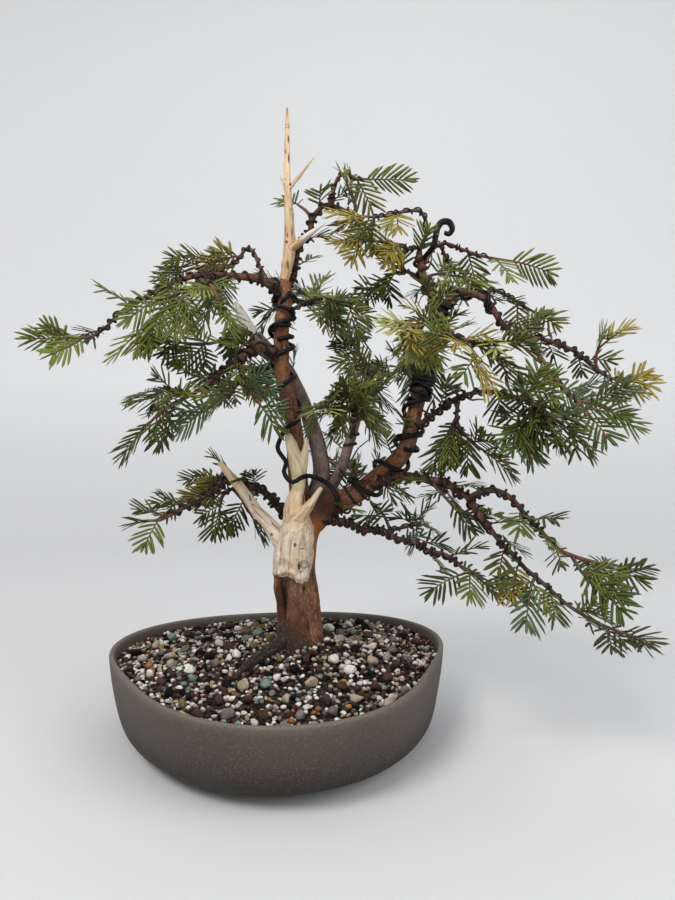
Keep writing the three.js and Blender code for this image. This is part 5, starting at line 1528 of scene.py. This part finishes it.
def make_deadwood():
    shari, spire = ([Limb(**entry) for entry in entries] for entries in (SHARI, SPIRE))
    left, back = [Limb(**LEFT_SNAG)], [Limb(**BACK_SNAG)]
    limbs["spire"] = spire[0]
    for limb in shari + left + spire + back:
        note_wood(limb)
    shari.append(Limb(**MID_PRONG))
    rows = (("trunk", shari, shape_shari), ("left", left, None), ("spire", spire, shape_spire),
        ("back", back, None))
    for name, group, change in rows:
        nodes = ["deadwood_" + name]
        make_wood("dry_" + name, dry_finish, "deadwood", nodes, group, dry_relief, DRY_VOXEL, change)


# Wires

def wound_line(names):
    """The middle line and radii of the limbs that a wire is wound round"""
    points, radii = [], []
    for limb in (limbs[name] for name in names):
        count = round(limb.curve.length / WOUND_STEP)
        shares = np.linspace(0, 1, count + 1)[1 if points else 0:]
        points.extend(limb.curve.at(shares))
        radii.extend(along(limb.radii, shares))
    return Curve(points), radii


def brought_forward(spot, radius):
    """Moves a place towards the front until it lies clear on top of the wood"""
    spot = np.array(spot, float)
    while not is_free(spot, spot + UP, radius, NOBODY):
        spot[1] -= 0.5
    return spot


def thick_wire(over, start, end, turns, radius, turn, lead):
    """The middle line of a thick wire, as in the solids, and how many straight stretches it has there"""
    curve, radii = wound_line(over)
    count = int(turns * WIRE_STEPS_PER_TURN + 0.5)
    whole = int(count / (end - start) + 0.5)
    first = int(start * whole + 0.5)
    stations = Stations(curve, np.linspace(0, 1, whole + 1))
    rows = slice(first, first + count + 1)
    angle = turn + np.arange(count + 1) / WIRE_STEPS_PER_TURN * TAU
    out = along(radii, stations.share[rows]) * BARK_SWELL + radius + WIRE_CLEARANCE
    free = [brought_forward(spot, radius + WIRE_CLEARANCE) for spot in lead]
    curve = Curve([*free, *stations.beside(rows, out, angle)])
    steps = count + len(free)
    occupy(curve, steps, lambda share: np.full(len(share), radius), WOOD)
    return curve, steps


def add_coil(heap, curve, radii, start, end, turns, radius, turn, lean=COIL_TILT):
    """A wire coiled close round a limb; its turns are uneven, as when wound by hand"""
    count = round(abs(turns) * STEPS_PER_TURN)
    run = np.arange(count + 1)
    angle = turn + np.sign(turns) * run / STEPS_PER_TURN * TAU
    angle = angle + 0.5 * np.sin(run * 0.19 + turn) + 0.3 * np.sin(run * 0.071 + 3 * turn)
    pace = 1 + 0.5 * np.sin(run * 0.11 + 2 * turn) + 0.3 * np.sin(run * 0.043 + turn)
    reached = np.cumsum(pace) - pace[0]
    shares = start + (end - start) * reached / reached[-1]
    stations = Stations(curve, np.concatenate([[0], shares]))
    tilt = lean * (along(radii, shares) + radius) / curve.length
    shares = np.clip(shares + tilt * np.sin(angle + 1.3 * turn + 0.02 * run), 0, 1)
    out = along(radii, shares) * 1.02 + radius * (0.95 + 0.25 * np.sin(run * 0.27 + turn) ** 2)
    line = stations.beside(slice(1, None), out, angle)
    add_tube(heap, Curve(line[::2] if len(line) > LONG_COIL else line), count, radius, WIRE_SIDES)


def add_tube(heap, curve, count, radius, sides, paint=0):
    """A round wire or twig along a curve; its radius may taper from foot to tip"""
    stations = Stations(curve, np.linspace(0, 1, count + 1))
    angles = np.broadcast_to(np.arange(sides) / sides * TAU, (count + 1, sides))
    radii = along(radius, stations.share) if np.ndim(radius) else np.full(count + 1, radius)
    points, faces = skin(stations.rings(np.broadcast_to(radii[:, None], angles.shape), angles))
    heap.add(points, faces, paint)


def wire_finish(name, low, high, gloss):
    finish = new_finish(name, low, gloss, 0.16)
    marks = spots(finish, on_object(finish), 260, 3)
    paint(finish, ramp(finish, marks, [(0.35, low), (0.7, high)]),
        ramp(finish, marks, [(0.3, gloss - 0.1), (0.7, gloss + 0.15)]), [(marks, 0.15, 0.4)])
    return finish


def make_wires():
    thick = wire_finish("black_wire", *THICK_WIRE_LOOK)
    thin = wire_finish("brown_wire", *THIN_WIRE_LOOK)
    for name, wire in WIRES.items():
        curve, steps = thick_wire(**wire)
        heap = Heap()
        add_tube(heap, curve, steps * FINE_STEPS, THICK_WIRE_RADIUS, WIRE_SIDES)
        place(heap.build(name + "_strand", [thick]), "wire", name)
    heap = Heap()
    for number, (name, start, end, turns, radius) in enumerate(KNOTTED):
        limb = limbs[name]
        radii = limb.drawn + KNOT_SWELL
        add_coil(heap, limb.curve, radii, start, end, turns, radius, 1.9 * number, KNOT_TILT)
    add_tube(heap, Curve(CURL), CURL_STEPS, CURL_RADII, WIRE_SIDES)
    for low, high, room in (CURL_ROOM, *SPIRE_ROOMS):
        note_rooms(np.array([low]), np.array([high]), room, NOBODY)
    place(heap.build("knotted_wires", [thick]), "wire")
    heap = Heap()
    for number, (name, start, end, pitch, radius) in enumerate(THIN_WIRES):
        limb = limbs[name]
        turns = limb.curve.length * (end - start) / pitch
        add_coil(heap, limb.curve, limb.drawn, start, end, turns, radius, 1.3 * number)
    place(heap.build("thin_wires", [thin]), "wire")


# Needles

def needle_faces():
    """The faces of one needle, and which of them are its underside"""
    sides = ((0, 1), (1, 2), (2, 0))
    quads = [(ring + a, ring + b, ring + b + 3, ring + a + 3) for ring in (0, 3) for a, b in sides]
    triangles = [(6 + a, 6 + b, 9) for a, b in sides] + [(0, 2, 1)]
    return np.array(quads), np.array(triangles), np.array([1, 0, 0, 1, 0, 0]), np.array([1, 0, 0, 1])


QUADS, TRIANGLES, QUAD_UNDER, TRIANGLE_UNDER = needle_faces()


def add_needles(heap, roots, directions, faces, lengths, bends, green):
    """Narrow pointed blades: a flat underside, a ridge on top and a slight bend towards their tips"""
    count = len(roots)
    across = unit(np.cross(faces, directions))
    top = np.cross(directions, across)
    reach = lengths[:, None] * RING_PLACES
    bent = (bends * lengths[:, None])[:, None] * (RING_PLACES ** 2)[:, None]
    middle = roots[:, None] + directions[:, None] * reach[..., None] + bent
    half = across[:, None] * (NEEDLE_WIDTH / 2 * RING_WIDTHS)[:, None]
    ridge = top[:, None] * (NEEDLE_THICKNESS * RING_WIDTHS)[:, None]
    rings = np.stack([middle + half, middle - half, middle + ridge], axis=2).reshape(count, 9, 3)
    tips = roots + (directions + bends) * lengths[:, None]
    first = np.arange(count)[:, None, None] * 10
    heap.add(np.concatenate([rings, tips[:, None]], axis=1),
        [(QUADS + first).reshape(-1, 4), (TRIANGLES + first).reshape(-1, 3)],
        [np.tile(QUAD_UNDER, count) + 2 * green, np.tile(TRIANGLE_UNDER, count) + 2 * green])


def add_comb(heap, random, centers, forwards, faces, green, size=1.0):
    """Needles in two ranks along a shoot, leaning further forward towards its tip"""
    count = len(centers)
    share = np.linspace(0, 1, count)
    sign = np.where(np.arange(count) % 2, 1, -1)[:, None]
    lean = np.radians(mix(*NEEDLE_LEAN, share) + random.normal(0, NEEDLE_LEAN_JITTER, count))[:, None]
    raised = np.radians(random.normal(*NEEDLE_RAISED, count))[:, None]
    across = unit(np.cross(faces, forwards))
    out = across * sign * np.cos(raised) + faces * np.sin(raised)
    directions = unit(out * np.sin(lean) + forwards * np.cos(lean))
    filled = np.sin(math.pi / 2 * np.minimum(share * COMB_FILLING, 1))
    envelope = mix(COMB_FOOT, 1, filled) * (1 - COMB_TIP_LOSS * share ** 3)
    lengths = NEEDLE_LENGTH * size * envelope * random.uniform(*NEEDLE_LENGTHS, count)
    jitter = random.normal(0, NEEDLE_TWIST_JITTER, (count, 3))
    normals = unit(faces - NEEDLE_TWIST * across * sign + jitter)
    bends = forwards * NEEDLE_CURL - UP * (NEEDLE_SAG * random.uniform(*NEEDLE_SAGS, count))[:, None]
    tips = centers + directions * lengths[:, None]
    keep = clear_of_wood(tips, NEEDLE_CLEARANCE) & clear_of_wood((tips + centers) / 2, NEEDLE_CLEARANCE)
    if keep.any():
        add_needles(heap, centers[keep], directions[keep], normals[keep], lengths[keep], bends[keep], green)


# Shoots

class Shoot:
    """A short twig that droops a little more towards its tip and bears a comb of needles"""

    def __init__(self, root, heading, face, length, droop):
        self.root, self.heading, self.face = root, heading, face
        self.length, self.droop = length, droop

    def at(self, share):
        share = np.atleast_1d(share)[:, None]
        return self.root + self.heading * self.length * share - UP * self.droop * self.length * share ** 2

    def forward(self, share):
        return unit(self.heading - UP * 2 * self.droop * np.atleast_1d(share)[:, None])

    def is_clear(self, share, room, owner):
        return is_free(self.at(share)[0], self.at(1)[0], room, owner)

    def shorten(self, owner):
        """Ends the shoot before it would touch wood or another mass; says whether enough is left"""
        count = max(2, int(self.length / NEEDLE_PITCH + 0.5))
        places = self.at(np.linspace(0, 1, count + 1))
        free = 1
        while free <= count and is_free(places[free - 1], places[free], RIB_CLEARANCE, owner):
            free += 1
        if free < 3:
            return False
        share = (free - 1) / count
        self.length *= share
        self.droop *= share
        note_rooms(places[:free - 1], places[1:free], RIB_RADIUS, owner)
        return True

    def grow(self, needles, twigs, random, green, size=1.0, radius=SHOOT_RADIUS):
        """Adds the shoot's twig, bud and needles"""
        count = max(2, round(self.length / SHOOT_STEP))
        share = np.linspace(0, 1, count + 1)
        centers, forwards = self.at(share), self.forward(share)
        sides = unit(np.cross(self.face, forwards))
        overs = np.cross(forwards, sides)
        points, faces = skin(round_rings(centers, sides, overs, along(radius, share)))
        twigs.add(points, faces, YOUNG if random.random() < YOUNG_CHANCE else RED_BROWN)
        if random.random() < BUD_CHANCE:
            add_bud(twigs, centers[-1:], forwards[-1], sides[-1:], overs[-1:])
        ranks = max(COMB_LEAST, round(self.length * COMB_SHARE / (NEEDLE_SPACING / 2)))
        share = np.linspace(COMB_START, 1, ranks)
        faces = np.broadcast_to(self.face, (ranks, 3))
        add_comb(needles, random, self.at(share), self.forward(share), faces, green, size)
        jitter = random.normal(0, TIP_NEEDLE_JITTER, (TIP_NEEDLES, 3))
        fan = jitter + forwards[-1] + sides[-1] * TIP_NEEDLE_SPREAD
        lengths = NEEDLE_LENGTH * size * random.uniform(*TIP_NEEDLE_LENGTHS, TIP_NEEDLES)
        add_needles(needles, np.repeat(centers[-1:], TIP_NEEDLES, axis=0), unit(fan),
            unit(self.face + fan * 0.01), lengths, np.tile(-UP * NEEDLE_SAG, (TIP_NEEDLES, 1)), green)


def add_bud(twigs, center, forward, side, over):
    reach, out = np.array(BUD_FORM).T
    points, faces = skin(round_rings(center + forward * reach[:, None], side, over, out))
    twigs.add(points, faces, BUD)


def lay_stems(mass):
    """Stems of every mass are laid out before any spray grows, so that sprays keep clear of them all"""
    laid = []
    for stem in mass["stems"]:
        if laid:
            start = laid[0]["curve"].at(stem["at"])[0]
        else:
            start = limbs[mass["limb"]].curve.at(mass["share"])[0]
        curve = Curve([start, *stem["bends"]])
        size = SIDE_STEM_SIZE if laid else 1
        count = max(2, int(curve.length / STEM_STEP + 0.5))
        occupy(curve, count, lambda share: mix(*STEM_RADIUS, share) * size, mass["seed"])
        laid.append({**stem, "curve": curve, "size": size})
    return laid


def main_shoots(stem, draw):
    """The sprays of a stem: alternately left and right, and one that carries it on at the tip"""
    curve = stem["curve"]
    count = max(1, int(curve.length * (1 - stem["bare"]) / SPRAY_SPACING + 0.5))
    for i in range(count + 1):
        is_tip = i == count
        share = TIP_PLACE if is_tip else mix(stem["bare"], 1, (i + 0.3) / count)
        sign = -1 if i % 2 else 1
        jitter = 0 if is_tip else SPRAY_ANGLE_JITTER * (draw() - 0.5)
        spread = 0 if is_tip else sign * math.radians(SPRAY_ANGLE + jitter)
        roll = (-1 if draw() < 0.5 else 1) * math.radians(mix(*SPRAY_ROLL, draw()))
        full = stem["tip"] if is_tip else stem["side"] * mix(1, OUTER_SPRAY_SIZE, share)
        size = full * mix(*SPRAY_SIZES, draw())
        droop = mix(*SPRAY_DROOP, draw()) - stem["lift"]
        forward = curve.heading(share)[0]
        face = rolled(forward, roll)
        yield Shoot(curve.at(share)[0], turned(forward, face, spread), face, size, droop)


def tilt(random, degrees):
    return math.radians(random.uniform(*degrees))


def side_shoots(shoot, random, fullness):
    """Finer twigs that leave a main shoot alternately, in or near its plane"""
    count = int(2 * fullness + random.random())
    places = np.linspace(*SIDE_SHOOT_PLACES, max(count, 2))[:count]
    first = random.choice((-1, 1))
    for i, share in enumerate(share for share in places if shoot.length * (1 - share) > SIDE_SHOOT_ROOM):
        sign = first * (-1 if i % 2 else 1)
        forward = shoot.forward(share)[0]
        face = turned(shoot.face, forward, tilt(random, SIDE_SHOOT_ROLL))
        heading = turned(forward, face, sign * tilt(random, SIDE_SHOOT_ANGLE))
        length = random.uniform(*SIDE_SHOOT_LENGTH) * (SIDE_SHOOT_FULL - SIDE_SHOOT_LOSS * share)
        yield Shoot(shoot.at(share)[0], heading, unit(face - heading * np.dot(face, heading)), length,
            shoot.droop + random.uniform(*SIDE_SHOOT_DROOP))


def small_shoot(root, heading, face, random):
    length = random.uniform(*SMALL_SHOOT_LENGTH)
    return Shoot(root, heading, face, length, random.uniform(*SMALL_SHOOT_DROOP))


def between_shoots(stem, random, fullness):
    """Short shoots between the sprays of a stem and a few on its bare part"""
    curve = stem["curve"]
    count = round(curve.length / BETWEEN_SPACING * fullness + 0.2)
    for i in range(count):
        share = (i + random.uniform(*UNEVEN_PLACE)) / count
        if share < stem["bare"] and random.random() < BARE_STRETCH_SKIP:
            continue
        forward = curve.heading(share)[0]
        face = rolled(forward, tilt(random, BETWEEN_ROLL))
        spread = random.choice((-1, 1)) * tilt(random, BETWEEN_ANGLE)
        yield small_shoot(curve.at(share)[0], turned(forward, face, spread), face, random)


def sprigs(limb, random):
    """Small shoots that stand straight on a bough"""
    count = round(limb.curve.length / SPRIG_SPACING)
    for i in range(count):
        share = (i + random.uniform(*UNEVEN_PLACE)) / count
        if share < SPRIG_START or random.random() < SPRIG_SKIP:
            continue
        forward = limb.curve.heading(share)[0]
        out = rolled(forward, tilt(random, SPRIG_SIDE))
        heading = unit(forward * random.uniform(*SPRIG_LEAN) + out)
        face = rolled(heading, tilt(random, SPRIG_ROLL))
        root = limb.curve.at(share)[0] + out * along(limb.radii, share) * BARK_SWELL
        yield small_shoot(root + heading * SPRIG_LIFT, heading, face, random)


def add_bare_twigs(heap, random):
    """Crooked leafless twigs among the boughs"""
    for name, count in BARE_TWIGS.items():
        curve = limbs[name].curve
        for _ in range(count):
            share = random.uniform(*BARE_TWIG_PLACES)
            heading = unit(random.normal(size=3) + curve.heading(share)[0] * BARE_TWIG_LEAN)
            line = [curve.at(share)[0]]
            for _ in range(random.integers(*BARE_TWIG_BENDS)):
                crook = random.normal(0, BARE_TWIG_CROOK, 3)
                heading = unit(heading + crook + UP * BARE_TWIG_RISE)
                line.append(line[-1] + heading * random.uniform(*BARE_TWIG_STEP))
            foot = random.uniform(*BARE_TWIG_RADIUS)
            radii = [part * foot for part in BARE_TWIG_TAPER]
            color = BROWN if random.random() < BROWN_TWIG_CHANCE else RED_BROWN
            add_tube(heap, Curve(line), BARE_TWIG_RINGS * len(line), radii, BARE_TWIG_SIDES, color)


# Foliage

def pick_green(look, random):
    return pick(LOOKS[look], random, 0.999)


def needle_finishes():
    finishes = []
    for name, color in GREENS:
        pale = tuple(mix(a, b, UNDERSIDE_SHARE) for a, b in zip(color, UNDERSIDE))
        finishes.append(new_finish("needle_" + name, color, 0.45, 0.22))
        finishes.append(new_finish("underside_" + name, pale, 0.6, 0.2))
    return finishes


def twig_finish(name, color, dark):
    finish = new_finish(name, color, 0.6, 0.4)
    marks = spots(finish, on_object(finish), 420, 2)
    low = tuple(part * dark for part in color)
    paint(finish, ramp(finish, marks, [(0.38, low), (0.6, color)]), None, [(marks, 0.3, 0.5)])
    return finish


def grow_mass(mass, stems, needles, twigs, wires):
    owner, look = mass["seed"], mass["look"]
    draw = seeded(owner)
    random = np.random.default_rng(owner)
    fullness = FULLNESS.get(mass["name"], 1)
    for stem in stems:
        curve, size = stem["curve"], stem["size"]
        color = BROWN if random.random() < BROWN_STEM_CHANCE else RED_BROWN
        drawn, coiled = ([radius * size for radius in radii] for radii in (STEM_DRAWN, STEM_WOUND))
        add_tube(twigs, curve, round(curve.length / STEM_RING_STEP), drawn, STEM_SIDES, color)
        wound = min(TWIG_WIRE_END, stem["bare"] + TWIG_WIRE_BEYOND)
        if curve.length * wound > TWIG_WIRE_LEAST:
            turns = curve.length * wound / TWIG_WIRE_PITCH
            add_coil(wires, curve, coiled, TWIG_WIRE_START, wound, turns, TWIG_WIRE_RADIUS, owner)
        for shoot in main_shoots(stem, draw):
            if not shoot.shorten(owner):
                continue
            green = pick_green(look, random)
            shoot.grow(needles, twigs, random, green)
            for side in side_shoots(shoot, random, fullness):
                if side.is_clear(*SIDE_SHOOT_CLEAR, owner):
                    tone = green if random.random() < SAME_GREEN_CHANCE else pick_green(look, random)
                    side.grow(needles, twigs, random, tone, SIDE_NEEDLE_SIZE, SIDE_SHOOT_RADIUS)
        for shoot in between_shoots(stem, random, fullness):
            if shoot.is_clear(*BETWEEN_CLEAR, owner):
                green = pick_green(look, random)
                shoot.grow(needles, twigs, random, green, BETWEEN_NEEDLE_SIZE, SMALL_SHOOT_RADIUS)


def make_foliage():
    finishes, barks = needle_finishes(), [twig_finish(*row) for row in TWIG_COLORS]
    laid = [lay_stems(mass) for mass in MASSES]
    regions = {}
    twigs, wires, loose = Heap(), Heap(), Heap()
    for mass, stems in zip(MASSES, laid):
        heap, nodes = regions.setdefault(mass["region"], (Heap(), []))
        grow_mass(mass, stems, heap, twigs, wires)
        nodes.append("foliage_" + mass["name"])
    random = np.random.default_rng(SPRIG_SEED)
    for entry in LIMBS[FIRST_SPRIG_LIMB:]:
        for shoot in sprigs(limbs[entry["name"]], random):
            if shoot.is_clear(*SPRIG_CLEAR, 0):
                green = pick_green("dark", random)
                shoot.grow(loose, twigs, random, green, SPRIG_NEEDLE_SIZE, SMALL_SHOOT_RADIUS)
    for name, (heap, nodes) in regions.items():
        place(heap.build("needles_" + name, finishes), "foliage", *nodes)
    add_bare_twigs(twigs, random)
    place(loose.build("needles_on_boughs", finishes), "foliage")
    place(twigs.build("twigs", barks), "bark")
    place(wires.build("twig_wires", [bpy.data.materials["brown_wire"]]), "wire")


# Floor, light and camera

def make_stage():
    """A pale round floor that curves up all round into a paler wall"""
    curve = [(FLOOR_RADIUS + WALL_CURVE * math.sin(a), WALL_CURVE - WALL_CURVE * math.cos(a))
        for a in np.linspace(0.05, math.pi / 2, 24)]
    profile = [*FLOOR_PROFILE, (FLOOR_RADIUS, 0), *curve, *WALL_PROFILE]
    around = np.arange(FLOOR_STEPS) / FLOOR_STEPS * TAU
    rings = np.array([[(r * math.cos(a), r * math.sin(a), z) for a in around] for r, z in profile]) / MM
    rings[..., 2] -= FLOOR_DROP
    points, faces = skin(rings)
    heap = Heap()
    heap.add(points, faces[:2])
    finish = new_finish("pale_floor", (0.6, 0.6, 0.61), 0.85, 0.2)
    height = height_over(finish, on_object(finish), 0.0)
    paint(finish, ramp(finish, height, [(0.0, FLOOR_COLOR), (WALL_HEIGHT, WALL_COLOR)]))
    heap.build("floor", [finish])


def add_object(name, data, spot, turn):
    holder = bpy.data.objects.new(name, data)
    holder.location = spot
    holder.rotation_euler = turn
    bpy.context.scene.collection.objects.link(holder)
    return holder


def add_light(name, spot, aim, size, power, color):
    light = bpy.data.lights.new(name, "AREA")
    light.shape = "DISK"
    light.size = size
    light.energy = power
    light.color = color
    add_object(name, light, spot, (Vector(aim) - Vector(spot)).to_track_quat("-Z", "Y").to_euler())


def make_light_and_camera():
    for light in LIGHTS:
        add_light(*light)
    world = bpy.data.worlds.new("sky")
    world.use_nodes = True
    sky = world.node_tree.nodes["Background"].inputs
    sky["Color"].default_value = SKY_COLOR
    sky["Strength"].default_value = SKY_STRENGTH
    lens = bpy.data.cameras.new("camera")
    lens.lens = LENS
    lens.sensor_width = SENSOR
    lens.shift_y = (HORIZON_ROW - PICTURE_HEIGHT / 2) / PICTURE_HEIGHT
    lens.clip_start = 0.01
    scene = bpy.context.scene
    scene.world = world
    scene.camera = add_object("camera", lens, [part * MM for part in CAMERA_PLACE], (math.pi / 2, 0, 0))
    scene.view_settings.view_transform = "Standard"


make_bowl()
make_bark()
make_deadwood()
make_grit()
make_wires()
make_foliage()
make_stage()
make_light_and_camera()
